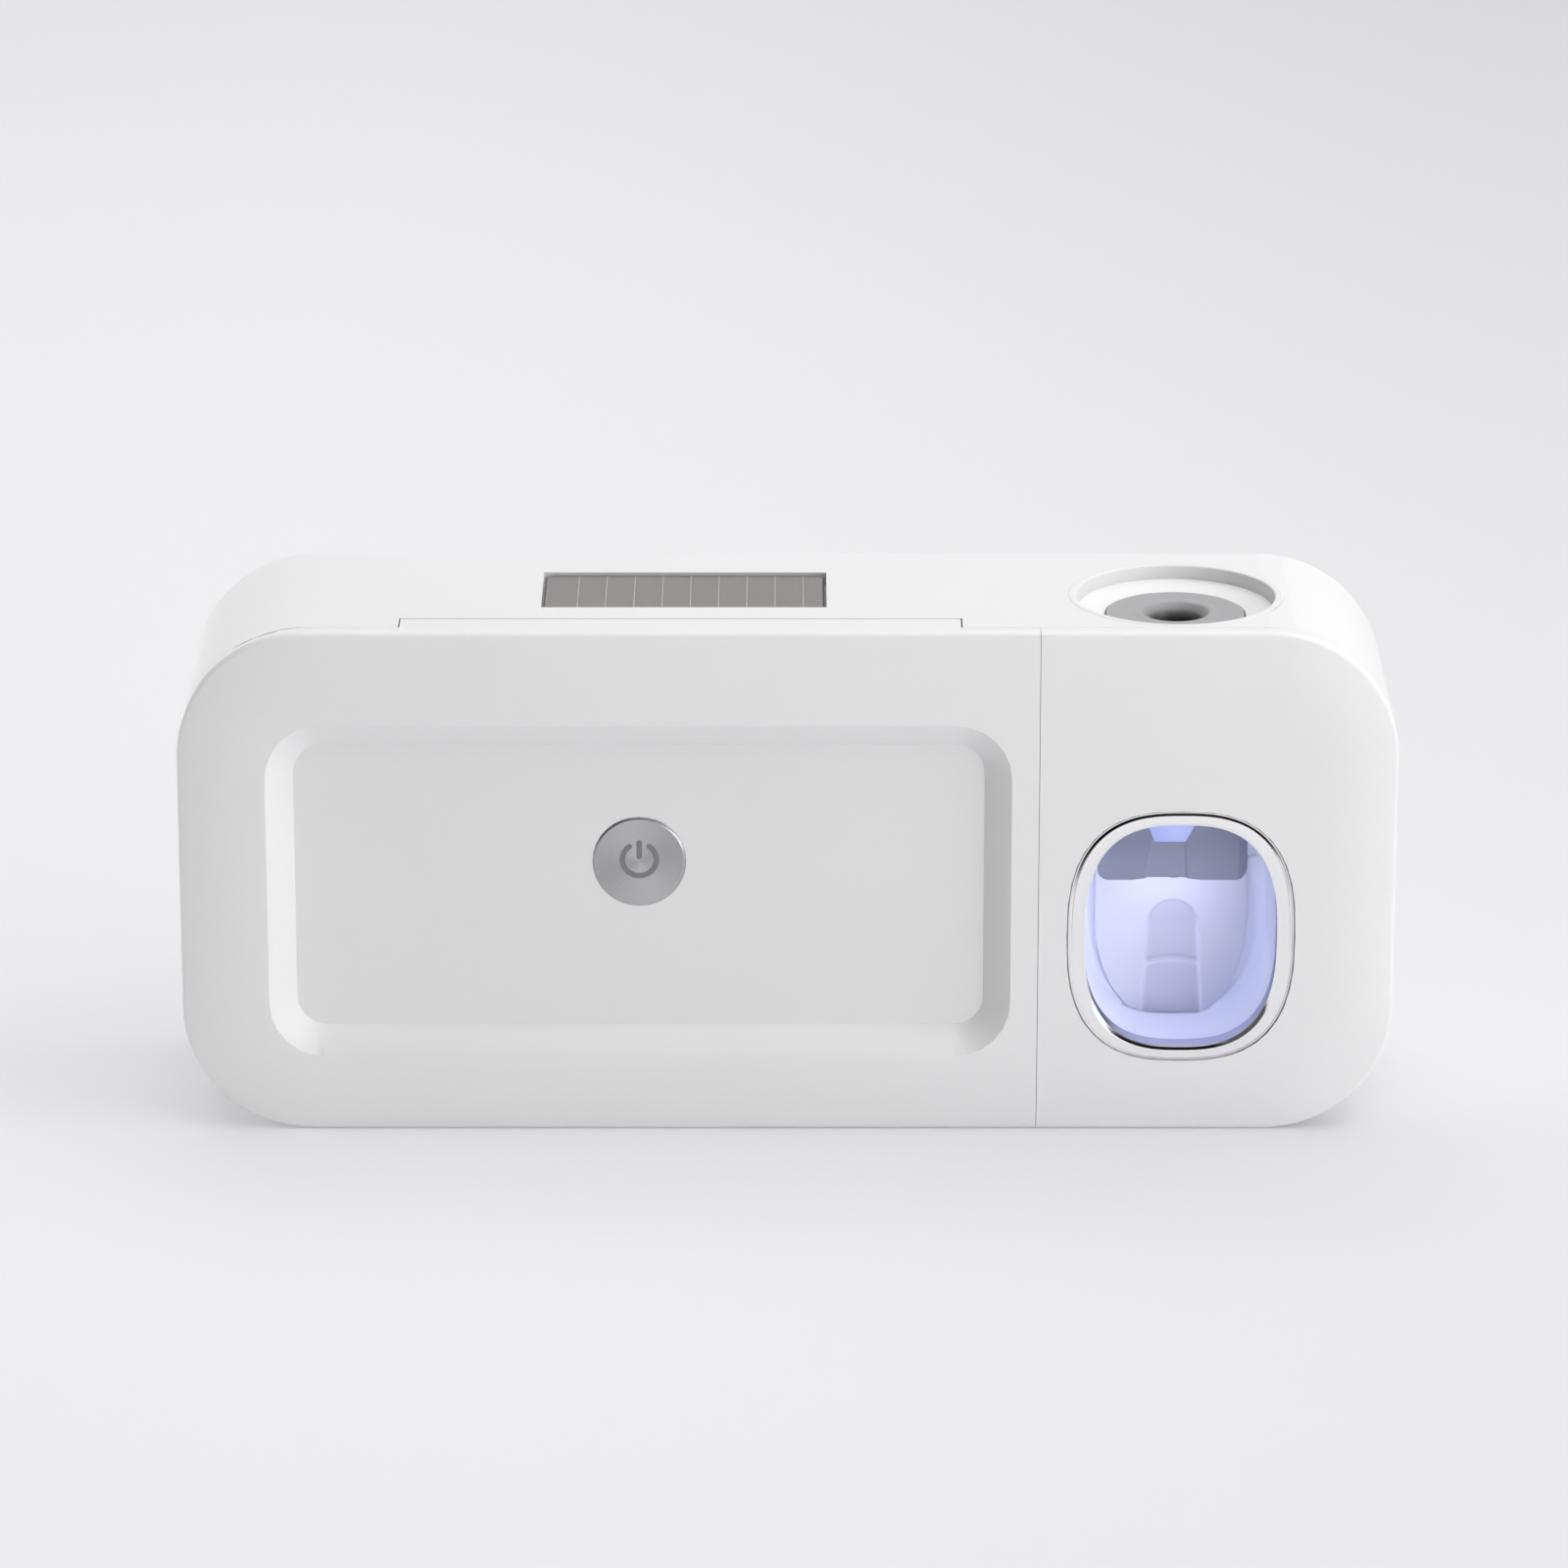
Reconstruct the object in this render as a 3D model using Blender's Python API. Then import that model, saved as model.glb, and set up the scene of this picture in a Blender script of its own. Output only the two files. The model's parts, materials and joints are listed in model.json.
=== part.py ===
"""Wall-mount toothbrush sterilizer with a toothpaste dispenser, as an assembly.

Metres, +Z up. The front faces -Y and X runs to the right as seen from the front.
The origin is the centre of the underside. Depths are counted back from the rim
plane, where the crisp outer edge of the front lies; the middle of the front
stands CROWN proud of it, so its depth is negative.
"""

import math

import bmesh
import bpy
from mathutils import Matrix, Vector

# Overall size of the casing
WIDTH = 0.2450
HEIGHT = 0.1058
DEPTH = 0.0562
CORNER_RADIUS = 0.0260
WALL = 0.0022
GAP = 0.0003

# Crowned front, shared by the door and the dispenser cover
CROWN = 0.0018
CROWN_WIDTH = 0.0165
EDGE_RADIUS = 0.0009
RIM_DEPTH = 0.0034
HOLLOW_DEPTH = 0.0012
DISPENSER_WIDTH = 0.0719

# Door: recessed panel inside a bevelled frame
PANEL_LEFT_MARGIN = 0.0232
PANEL_RIGHT_MARGIN = 0.0110
PANEL_TOP_MARGIN = 0.0243
PANEL_BOTTOM_MARGIN = 0.0218
PANEL_SETBACK = 0.0046
PANEL_RADIUS = 0.0060
PANEL_THICKNESS = 0.0018
PANEL_SEAM = 0.0002
PANEL_BOSS_RADIUS = 0.0026
PANEL_BOSS_HEIGHT = 0.0038
LEDGE_WIDTH = 0.0030
LEDGE_THICKNESS = 0.0014
BEVEL_WIDTH = 0.0054
COVER_OVERLAP = 0.0015
SKIRT_WALL = 0.0018
SKIRT_CLEARANCE = 0.0010
SKIRT_DEPTH = 0.0126
DOOR_COVER_THICKNESS = 0.0017
DOOR_SCREW_INSET = 0.0080

# Door hinge along the top edge
HINGE_DEPTH = 0.0071
HINGE_DROP = 0.0023
HINGE_CLEARANCE = 0.00015
TONGUE_LEFT = 0.0450
TONGUE_RIGHT = 0.0159
TONGUE_SIDE_GAP = 0.0003
BARREL_RADIUS = 0.00318
PIN_RADIUS = 0.0010
PIN_ENGAGEMENT = 0.0062
EAR_WIDTH = 0.0070

# Power button
BUTTON_RADIUS = 0.00935
BUTTON_RISE = 0.0050
BUTTON_PROUD = 0.0002
BUTTON_FLANGE = 0.0012
BUTTON_FLANGE_THICKNESS = 0.0008
BUTTON_TRAVEL = 0.0005
BUTTON_STEM_RADIUS = 0.0015
BUTTON_STEM_LENGTH = 0.0008
SWITCH_BOARD_SIZE = (0.0220, 0.0160, 0.0012)
SWITCH_SIZE = 0.0060
SWITCH_KEY = (0.0015, 0.0010)
SWITCH_PLAY = 0.0001

# Brush chamber
CHAMBER_DEPTH = 0.0310
INNER_PANEL_THICKNESS = 0.0016
PARTITION_THICKNESS = 0.0020
PARTITION_SETBACK = 0.0021
BRUSH_COUNT = 4
BRUSH_PITCH = 0.0300
HANDLE_SLOT_WIDTH = 0.0140
HANDLE_SLOT_END = 0.0220
COMB_SIDE = 0.0080
COMB_REAR = 0.0245
COMB_LAP = 0.0070
COMB_LAP_THICKNESS = 0.0018
NECK_SLOT_WIDTH = 0.0066
NECK_SLOT_LENGTH = 0.0115
RACK_FRONT = 0.0135
RACK_Z = 0.0340
RACK_THICKNESS = 0.0025
RACK_SIDE = 0.0150
RACK_FLANGE_HEIGHT = 0.0120
RACK_FLANGE_THICKNESS = 0.0020
RACK_TAB_WIDTH = 0.0080
RACK_TAB_THICKNESS = 0.0014
RACK_TAB_HOOK = 0.0010
POST_RADIUS = 0.0030
POST_WEB = 0.0016
POST_CLEARANCE = 0.0020
INNER_POST_LEFT = 0.0145
INNER_POST_RIGHT = 0.0065
INNER_POST_INSETS = (0.0100, 0.0128, 0.0085, 0.0090)
BACK_POST_INSET = 0.0066
COVER_SCREW_NEAR = 0.0060
COVER_SCREW_FAR = 0.0105
COVER_SCREW_INSETS = (0.0085, 0.0088, 0.0180)

# Lamp on the inner panel
LAMP_Z = 0.0700
LAMP_LENGTH = 0.1000
LAMP_RADIUS = 0.0022
LAMP_CAP_LENGTH = 0.0070
LAMP_CAP_SIZE = 0.0076
REFLECTOR_WIDTH = 0.0160
REFLECTOR_RISE = 0.0050
REFLECTOR_WALL = 0.0008
REFLECTOR_FLAT = 0.45
REFLECTOR_OVERHANG = 0.0030

# Solar panel let into the top
SOLAR_WIDTH = 0.0566
SOLAR_LENGTH = 0.0229
SOLAR_LEFT = 0.0733
SOLAR_DEPTH = 0.0177
SOLAR_SINK = 0.0006
SOLAR_THICKNESS = 0.0016
SOLAR_FLOOR = 0.0015
SOLAR_BORDER = 0.0005
SOLAR_RIM = 0.0025

# Dispenser window and cavity, superellipses about one centre
WINDOW_INSET = 0.0287
WINDOW_Z = 0.0421
WINDOW_POWER = 2.7
RING_OUTER = (0.02275, 0.02640)
RING_INNER = (0.01940, 0.02365)
RING_FLANGE = 0.0009
RING_SKIRT = 0.0015
CAVITY_INNER = (0.0199, 0.0266)
CAVITY_WALL = 0.0016
CAVITY_FLANGE = 0.0034
CAVITY_FRONT = 0.0033
CAVITY_BACK = 0.0272
CAVITY_ROUND = 0.0040
CAVITY_DRAFT = 0.0006
COLLAR_WALL = 0.0020

# Pump block, plunger and push plate
PUMP_OFFSET = 0.0008
BLOCK_WIDTH = 0.0298
BLOCK_FRONT = 0.0090
BLOCK_REAR = 0.0225
BLOCK_UPPER_REAR = 0.0330
BLOCK_BOTTOM_RISE = 0.0074
BLOCK_STEP_RISE = 0.0125
BLOCK_TOP_DROP = 0.0188
BLOCK_EAR = 0.0055
BLOCK_EAR_THICKNESS = 0.0030
BLOCK_ROUND = 0.0021
BLOCK_SHOULDER = 0.0004
FACET_WIDTH = 0.0100
FACET_SINK = 0.0008
FACET_TOP_DROP = 0.0040
LENS_RISE = 0.0093
LENS_HEIGHT = 0.0080
LENS_HALF_WIDTHS = (0.0032, 0.0045)
LENS_THICKNESS = 0.0014
LED_BOARD_THICKNESS = 0.0009
BORE_RISE = 0.0045
INLET_BORE = 0.0028
CROSS_BORE = 0.0023
OUTLET_BORE = 0.0022
INLET_SEAT = (0.0051, 0.0025)
OUTLET_SEAT = (0.0033, 0.0028)
NOZZLE_DEPTH = 0.0158
SPRING_ROOM = 0.0030
PLUNGER_RISE = 0.0064
PLUNGER_RADIUS = 0.0029
PLUNGER_HEAD_RADIUS = 0.0050
PLUNGER_HEAD_THICKNESS = 0.0012
PLUNGER_NUB_RADIUS = 0.0015
PLUNGER_NUB_LENGTH = 0.0009
PLUNGER_TIP = 0.0040
SEAL_GROOVE = (0.0008, 0.0012, 0.0007)
SPRING_TURNS = 3
SPRING_COIL = 0.0041
SPRING_WIRE = 0.00025
PLATE_SWING = math.radians(12)
LEVER_DEPTH = 0.0298
LEVER_DROP = 0.0030
LEVER_BARREL = 0.0026
LEVER_EAR = 0.0008
LEVER_EAR_THICKNESS = 0.0026
ARM_HALF_WIDTH = 0.0050
ARM_RISE = 0.0020
ARM_AHEAD = 0.0038
ARM_PLAY = 0.00035
PLATE_HALF_WIDTH = 0.0155
PLATE_CURVE = 0.0220
PLATE_TRUNCATION = 0.0020
PLATE_BOTTOM_DROP = 0.0258
PLATE_FRONT = 0.0252
PLATE_THICKNESS = 0.0030
PLATE_CLEARANCE = 0.0005
GROOVE_HALF_WIDTH = 0.0052
GROOVE_FLARE = 0.0010
GROOVE_TOP_RISE = 0.0253
GROOVE_STEP_RISE = 0.0119
GROOVE_UPPER = 0.0020
GROOVE_LOWER = 0.0011

# Toothpaste funnel in the top
FUNNEL_DEPTH = 0.0258
FUNNEL_RADIUS = 0.0212
FUNNEL_LIP = 0.0011
FUNNEL_FLOOR_DROP = 0.0038
FUNNEL_CUP_DROP = 0.0055
FUNNEL_CUP_FLOOR = 0.0020
CUP_PEG_REACH = 0.0030
CUP_PEG_TURNS = (math.radians(218), math.radians(142), math.radians(52))
CUP_TAB_RADIUS = 0.0040
CUP_TAB_THICKNESS = 0.0020
SEAL_RADIUS = 0.0140
SEAL_MOUTH = 0.0073
SEAL_BORE = 0.0042
SEAL_SKIRT = 0.0088

# Electronics behind the inner panel
BOARD_SIZE = (0.0600, 0.0300)
BOARD_THICKNESS = 0.0016
BOARD_STANDOFF = 0.0030
BOARD_RIGHT_MARGIN = 0.0100
BOARD_HOLE_INSET = 0.0035
CHIPS = ((-0.010, 0.002, 0.009, 0.009, 0.0014), (0.006, -0.004, 0.006, 0.004, 0.0018),
         (0.017, 0.001, 0.010, 0.005, 0.0055), (-0.021, 0.006, 0.005, 0.008, 0.0040))
STANDOFF_RADIUS = 0.0024
PEG_RADIUS = 0.0012
PEG_HEAD = 0.0008
CELL_CLEARANCE = 0.0036
CELL_LENGTH = 0.0500
HOLDER_WALL = 0.0012
SOCKET_X = -0.0100
SOCKET_SIZE = (0.0090, 0.0033, 0.0074)
SOCKET_WALL = 0.0004
SOCKET_RECESS = 0.0005
CHARGE_BOARD_SIZE = (0.0240, 0.0120)
CHARGE_BOARD_THICKNESS = 0.0012
CHARGE_HOLE_OFFSET = 0.0085

# Fasteners and magnets
SCREW_RADIUS = 0.0011
SCREW_HEAD_RADIUS = 0.0024
SCREW_HEAD_HEIGHT = 0.0015
SCREW_LENGTH = 0.0060
SCREW_HOLE = 0.0015
MAGNET_RADIUS = 0.0030
MAGNET_THICKNESS = 0.0022
MAGNET_WALL = 0.0012
MAGNET_Z = 0.0085
MAGNET_SEAT = 0.0007
MAGNET_CUP = 0.0024
KEYHOLE_HEAD = 0.0043
KEYHOLE_SHANK = 0.0023
KEYHOLE_LENGTH = 0.0080
KEYHOLE_INSET = 0.0525
KEYHOLE_DROP = 0.0358
KEYHOLE_POCKET = 0.0052
KEYHOLE_CUP = 0.0065
KEYHOLE_CUP_WALL = 0.0013

# Places worked out from the sizes above
RIM_Y = -DEPTH / 2 + CROWN
BODY_DEPTH = DEPTH - CROWN
HOUSING_FRONT = RIM_DEPTH + GAP
HALF = WIDTH / 2
SEAM_X = HALF - DISPENSER_WIDTH
PANEL_FACE = PANEL_SETBACK - CROWN
PANEL_X = (-HALF + PANEL_LEFT_MARGIN + SEAM_X - PANEL_RIGHT_MARGIN) / 2
PANEL_Z = (PANEL_BOTTOM_MARGIN + HEIGHT - PANEL_TOP_MARGIN) / 2
PANEL_HALF_X = (SEAM_X - PANEL_RIGHT_MARGIN + HALF - PANEL_LEFT_MARGIN) / 2
PANEL_HALF_Z = (HEIGHT - PANEL_TOP_MARGIN - PANEL_BOTTOM_MARGIN) / 2
BUTTON_Z = PANEL_Z + BUTTON_RISE
HINGE_Z = HEIGHT - HINGE_DROP
KEYHOLE_X = HALF - KEYHOLE_INSET
KEYHOLE_Z = HEIGHT - KEYHOLE_DROP
TONGUE_X0 = -HALF + TONGUE_LEFT
TONGUE_X1 = SEAM_X - TONGUE_RIGHT
SKIRT_GROWTH = COVER_OVERLAP + GAP + SKIRT_WALL
OPENING_GROWTH = SKIRT_GROWTH + SKIRT_CLEARANCE
PARTITION_X = SEAM_X - PARTITION_SETBACK - PARTITION_THICKNESS
WINDOW_X = SEAM_X + WINDOW_INSET
PUMP_X = WINDOW_X - PUMP_OFFSET
BLOCK_BOTTOM = WINDOW_Z + BLOCK_BOTTOM_RISE
BLOCK_STEP = BLOCK_BOTTOM + BLOCK_STEP_RISE
BLOCK_TOP = HEIGHT - BLOCK_TOP_DROP
PLUNGER_Z = BLOCK_BOTTOM + PLUNGER_RISE
LEVER_Z = BLOCK_BOTTOM - LEVER_DROP
PLATE_BOTTOM = WINDOW_Z - PLATE_BOTTOM_DROP
SOLAR_X = -HALF + SOLAR_LEFT + SOLAR_WIDTH / 2
INNER_REAR = CHAMBER_DEPTH + INNER_PANEL_THICKNESS
COVER_INNER = BODY_DEPTH - WALL
CELL_RADIUS = (COVER_INNER - INNER_REAR - HOLDER_WALL - 2 * GAP - CELL_CLEARANCE) / 2
LAMP_X = PANEL_X
SOLAR_LOW = HEIGHT - SOLAR_SINK - SOLAR_THICKNESS - GAP - SOLAR_FLOOR
CUP_LOW = HEIGHT - FUNNEL_CUP_DROP - FUNNEL_CUP_FLOOR
CUP_TAB_LOW = HEIGHT - WALL - GAP - CUP_TAB_THICKNESS
FUNNEL_Y = RIM_Y + FUNNEL_DEPTH

MANY_CUTS = ("main_housing", "slot_comb", "pump_block", "back_cover")
CORNER_STEPS = 8
PANEL_STEPS = 6
SMALL_STEPS = 4
WINDOW_POINTS = 40


def deep(depth):
    """World Y of a depth behind the rim plane."""
    return RIM_Y + depth


def clear_scene():
    for item in list(bpy.data.objects):
        bpy.data.objects.remove(item, do_unlink=True)


def material(name, colour, roughness, metallic=0.0, alpha=1.0):
    made = bpy.data.materials.new(name)
    made.use_nodes = True
    shader = made.node_tree.nodes["Principled BSDF"]
    shader.inputs["Base Color"].default_value = (*colour, 1.0)
    shader.inputs["Roughness"].default_value = roughness
    shader.inputs["Metallic"].default_value = metallic
    shader.inputs["Alpha"].default_value = alpha
    made.diffuse_color = (*colour, alpha)
    return made


def mesh_object(name, bm):
    """Close a bmesh into a new object with its faces pointing out."""
    bmesh.ops.recalc_face_normals(bm, faces=bm.faces[:])
    mesh = bpy.data.meshes.new(name)
    bm.to_mesh(mesh)
    bm.free()
    made = bpy.data.objects.new(name, mesh)
    bpy.context.scene.collection.objects.link(made)
    return made


def rounded_loop(x0, x1, z0, z1, radius, steps=CORNER_STEPS):
    """Rounded rectangle in X and Z, each corner an arc of the given steps."""
    corners = ((x1 - radius, z0 + radius, -90), (x1 - radius, z1 - radius, 0),
               (x0 + radius, z1 - radius, 90), (x0 + radius, z0 + radius, 180))
    loop = []
    for cx, cz, start in corners:
        for step in range(steps + 1):
            angle = math.radians(start + 90 * step / steps)
            loop.append((cx + radius * math.cos(angle), cz + radius * math.sin(angle)))
    return loop


def casing_loop(inset=0.0):
    """The casing's outline, drawn in by inset."""
    return rounded_loop(-HALF + inset, HALF - inset, inset, HEIGHT - inset,
                        CORNER_RADIUS - inset)


def left_of(x_edge, inset):
    """The casing's outline left of a straight edge, drawn in by inset."""
    rest = casing_loop(inset)[2 * (CORNER_STEPS + 1):]
    return [(x_edge, inset), (x_edge, HEIGHT - inset)] + rest


def right_of(x_edge, inset):
    """The casing's outline right of a straight edge, drawn in by inset."""
    rest = casing_loop(inset)[:2 * (CORNER_STEPS + 1)]
    return rest + [(x_edge, HEIGHT - inset), (x_edge, inset)]


def panel_loop(growth=0.0):
    """The inset panel's outline, grown on every side."""
    return rounded_loop(PANEL_X - PANEL_HALF_X - growth, PANEL_X + PANEL_HALF_X + growth,
                        PANEL_Z - PANEL_HALF_Z - growth, PANEL_Z + PANEL_HALF_Z + growth,
                        PANEL_RADIUS + growth, PANEL_STEPS)


def window_loop(half_x, half_z, centre_x=WINDOW_X):
    """Superellipse about the window's centre."""
    loop = []
    for step in range(WINDOW_POINTS):
        angle = 2 * math.pi * step / WINDOW_POINTS
        cos, sin = math.cos(angle), math.sin(angle)
        x = math.copysign(abs(cos) ** (2 / WINDOW_POWER), cos)
        z = math.copysign(abs(sin) ** (2 / WINDOW_POWER), sin)
        loop.append((centre_x + half_x * x, WINDOW_Z + half_z * z))
    return loop


def add_ring(bm, loop, depth):
    """The points of an outline lying at one depth."""
    return [bm.verts.new((x, deep(depth), z)) for x, z in loop]


def loft(name, sections, closed_round=False):
    """Skin through (loop, depth) sections, capped, or closed back on itself."""
    bm = bmesh.new()
    rings = [add_ring(bm, loop, depth) for loop, depth in sections]
    pairs = list(zip(rings, rings[1:]))
    if closed_round:
        pairs.append((rings[-1], rings[0]))
    for first, second in pairs:
        count = len(first)
        for i in range(count):
            j = (i + 1) % count
            bm.faces.new((first[i], first[j], second[j], second[i]))
    if not closed_round:
        bm.faces.new(rings[0])
        bm.faces.new(rings[-1])
    return mesh_object(name, bm)


def extruded(name, points, push):
    """Flat outline of points pushed along a vector."""
    bm = bmesh.new()
    face = bm.faces.new([bm.verts.new(point) for point in points])
    pushed = bmesh.ops.extrude_face_region(bm, geom=[face])["geom"]
    moved = [item for item in pushed if isinstance(item, bmesh.types.BMVert)]
    bmesh.ops.translate(bm, verts=moved, vec=push)
    return mesh_object(name, bm)


def prism(name, loop, depth0, depth1):
    """Outline in X and Z pushed from one depth to another."""
    return extruded(name, [(x, deep(depth0), z) for x, z in loop], (0.0, depth1 - depth0, 0.0))


def block(name, x0, x1, depth0, depth1, z0, z1, bevel=0.0):
    """Box with softened edges."""
    bm = bmesh.new()
    bmesh.ops.create_cube(bm, size=1.0)
    bmesh.ops.scale(bm, vec=(x1 - x0, depth1 - depth0, z1 - z0), verts=bm.verts[:])
    centre = ((x0 + x1) / 2, deep((depth0 + depth1) / 2), (z0 + z1) / 2)
    bmesh.ops.translate(bm, verts=bm.verts[:], vec=centre)
    if bevel:
        bmesh.ops.bevel(bm, geom=bm.edges[:], offset=bevel, segments=2, affect="EDGES")
    return mesh_object(name, bm)


def turned(name, profile, centre, axis="Z", steps=32):
    """Revolve (radius, height) points about an axis through a centre.

    A profile that starts and ends on the axis gives a solid of revolution, any
    other one is closed on itself and gives a ring. X and Y turn +Z onto themselves.
    """
    solid = profile[0][0] == 0 and profile[-1][0] == 0
    bm = bmesh.new()
    verts = [bm.verts.new((radius, 0.0, height)) for radius, height in profile]
    edges = [bm.edges.new(pair) for pair in zip(verts, verts[1:])]
    if not solid:
        edges.append(bm.edges.new((verts[-1], verts[0])))
    bmesh.ops.spin(bm, geom=verts + edges, cent=(0, 0, 0), axis=(0, 0, 1),
                   angle=2 * math.pi, steps=steps, use_merge=True)
    bmesh.ops.remove_doubles(bm, verts=bm.verts[:], dist=1e-7)
    turn = {"X": Matrix.Rotation(math.pi / 2, 4, "Y"),
            "Y": Matrix.Rotation(-math.pi / 2, 4, "X"),
            "Z": Matrix.Identity(4)}[axis]
    bmesh.ops.transform(bm, matrix=Matrix.Translation(centre) @ turn, verts=bm.verts[:])
    return mesh_object(name, bm)


def rod(name, centre, axis, radius, length, steps=24):
    """Plain cylinder that starts at its centre point and runs along the axis."""
    profile = [(0, 0), (radius, 0), (radius, length), (0, length)]
    return turned(name, profile, centre, axis, steps)


def as_guide(cutter):
    cutter.hide_render = True
    cutter.display_type = "WIRE"


def combine(target, other, operation):
    """Boolean step; a few bodies with very many cuts need the manifold solver."""
    step = target.modifiers.new(other.name, "BOOLEAN")
    step.operation = operation
    step.solver = "MANIFOLD" if target.name in MANY_CUTS else "EXACT"
    step.object = other
    as_guide(other)


def cut(target, *cutters):
    for cutter in cutters:
        combine(target, cutter, "DIFFERENCE")


def fuse(target, *others):
    for other in others:
        combine(target, other, "UNION")


def finish(item, surface, smooth_degrees=32):
    """Give a piece its material and smooth its round faces."""
    item.data.materials.append(surface)
    item.data.shade_smooth()
    item.data.set_sharp_from_angle(angle=math.radians(smooth_degrees))
    return item


def carrier(name, point):
    """Empty on a joint's axis, which its moving pieces hang from."""
    empty = bpy.data.objects.new(name, None)
    empty.location = point
    empty.empty_display_size = 0.01
    bpy.context.scene.collection.objects.link(empty)
    return empty


def hang(item, empty):
    """Parent a piece, and the cutters on it, to an empty without moving it."""
    bpy.context.view_layer.update()
    for part in [item] + [step.object for step in item.modifiers if step.type == "BOOLEAN"]:
        part.parent = empty
        part.matrix_parent_inverse = empty.matrix_world.inverted()


def screw_at(name, surface, x, depth, z, axis="Y", towards=-1):
    """Pan-head screw whose head sits at a seat and whose shank runs on from it."""
    head, shank = SCREW_HEAD_HEIGHT, SCREW_LENGTH
    profile = [(0, -towards * head), (SCREW_HEAD_RADIUS * 0.7, -towards * head),
               (SCREW_HEAD_RADIUS, -towards * head * 0.5), (SCREW_HEAD_RADIUS, 0),
               (SCREW_RADIUS, 0), (SCREW_RADIUS, towards * shank), (0, towards * shank)]
    return finish(turned(name, profile, (x, deep(depth), z), axis, 8), surface)


def front_form(name):
    """The whole crowned front as one solid, before the seam divides it."""
    def surface(inset):
        left = 1.0 - min(inset / CROWN_WIDTH, 1.0)
        return -CROWN * (1.0 - left * left)

    sections = [(casing_loop(0.0), RIM_DEPTH)]
    for step in range(3):
        angle = math.radians(90 * step / 2)
        inset = EDGE_RADIUS * (1 - math.cos(angle))
        depth = EDGE_RADIUS * (1 - math.sin(angle)) + surface(inset)
        sections.append((casing_loop(inset), depth))
    crown_steps = 4
    for step in range(1, crown_steps + 1):
        inset = EDGE_RADIUS + (CROWN_WIDTH - EDGE_RADIUS) * step / crown_steps
        sections.append((casing_loop(inset), surface(inset)))
    return loft(name, sections)


def hinge_rod(name, x0, x1, radius, steps=32):
    """Cylinder about the door's hinge axis."""
    return rod(name, (x0, deep(HINGE_DEPTH), HINGE_Z), "X", radius, x1 - x0, steps)


def solar_block(name, growth, z0, z1):
    """Block about the solar panel's place, wider and longer by a growth."""
    return block(name, SOLAR_X - SOLAR_WIDTH / 2 - growth, SOLAR_X + SOLAR_WIDTH / 2 + growth,
                 SOLAR_DEPTH - growth, SOLAR_DEPTH + SOLAR_LENGTH + growth, z0, z1)


def upright(name, x, depth, z, radius, length, steps=12):
    """Cylinder that stands on a point and runs up."""
    return rod(name, (x, deep(depth), z), "Z", radius, length, steps)


def backward(name, x, depth, z, radius, length, steps=8):
    """Cylinder that starts at a depth and runs towards the back."""
    return rod(name, (x, deep(depth), z), "Y", radius, length, steps)


def brush_places():
    middle = (BRUSH_COUNT - 1) / 2
    return [PANEL_X + BRUSH_PITCH * (i - middle) for i in range(BRUSH_COUNT)]


def stake(name, centre, axis, seat, board):
    """Stand-off with a melted-over peg that holds a board of the given thickness."""
    top = seat + board + 3 * GAP
    profile = [(0, 0), (STANDOFF_RADIUS, 0), (STANDOFF_RADIUS, seat), (PEG_RADIUS, seat),
               (PEG_RADIUS, top), (STANDOFF_RADIUS, top), (PEG_RADIUS, top + PEG_HEAD),
               (0, top + PEG_HEAD)]
    return turned(name, profile, centre, axis, 12)


def inner_post_places():
    """Screw posts for the inner panel, in the corners that the door opening leaves."""
    left = -HALF + INNER_POST_LEFT
    right = PARTITION_X - INNER_POST_RIGHT
    low_left, high_left, low_right, high_right = INNER_POST_INSETS
    return [(left, HEIGHT - high_left), (left, low_left), (right, HEIGHT - high_right), (right, low_right)]


def back_post_places():
    far = HALF - CORNER_RADIUS - POST_RADIUS
    return [(-far, HEIGHT - BACK_POST_INSET), (-far, BACK_POST_INSET), (far, BACK_POST_INSET),
            (HALF - BACK_POST_INSET, HEIGHT / 2)]


def cover_screw_places():
    near = SEAM_X + COVER_SCREW_NEAR
    far = HALF - COVER_SCREW_FAR
    low, high, corner = COVER_SCREW_INSETS
    return [(near, low), (near, HEIGHT - high), (far, corner), (far, HEIGHT - corner)]


def magnet_places():
    places = brush_places()
    return [((places[0] + places[1]) / 2, MAGNET_Z), ((places[-2] + places[-1]) / 2, MAGNET_Z)]


def door_screw_places():
    half_x, half_z = PANEL_HALF_X - DOOR_SCREW_INSET, PANEL_HALF_Z - DOOR_SCREW_INSET
    return [(PANEL_X + sx * half_x, PANEL_Z + sz * half_z) for sx in (-1, 1) for sz in (-1, 1)]


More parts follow.
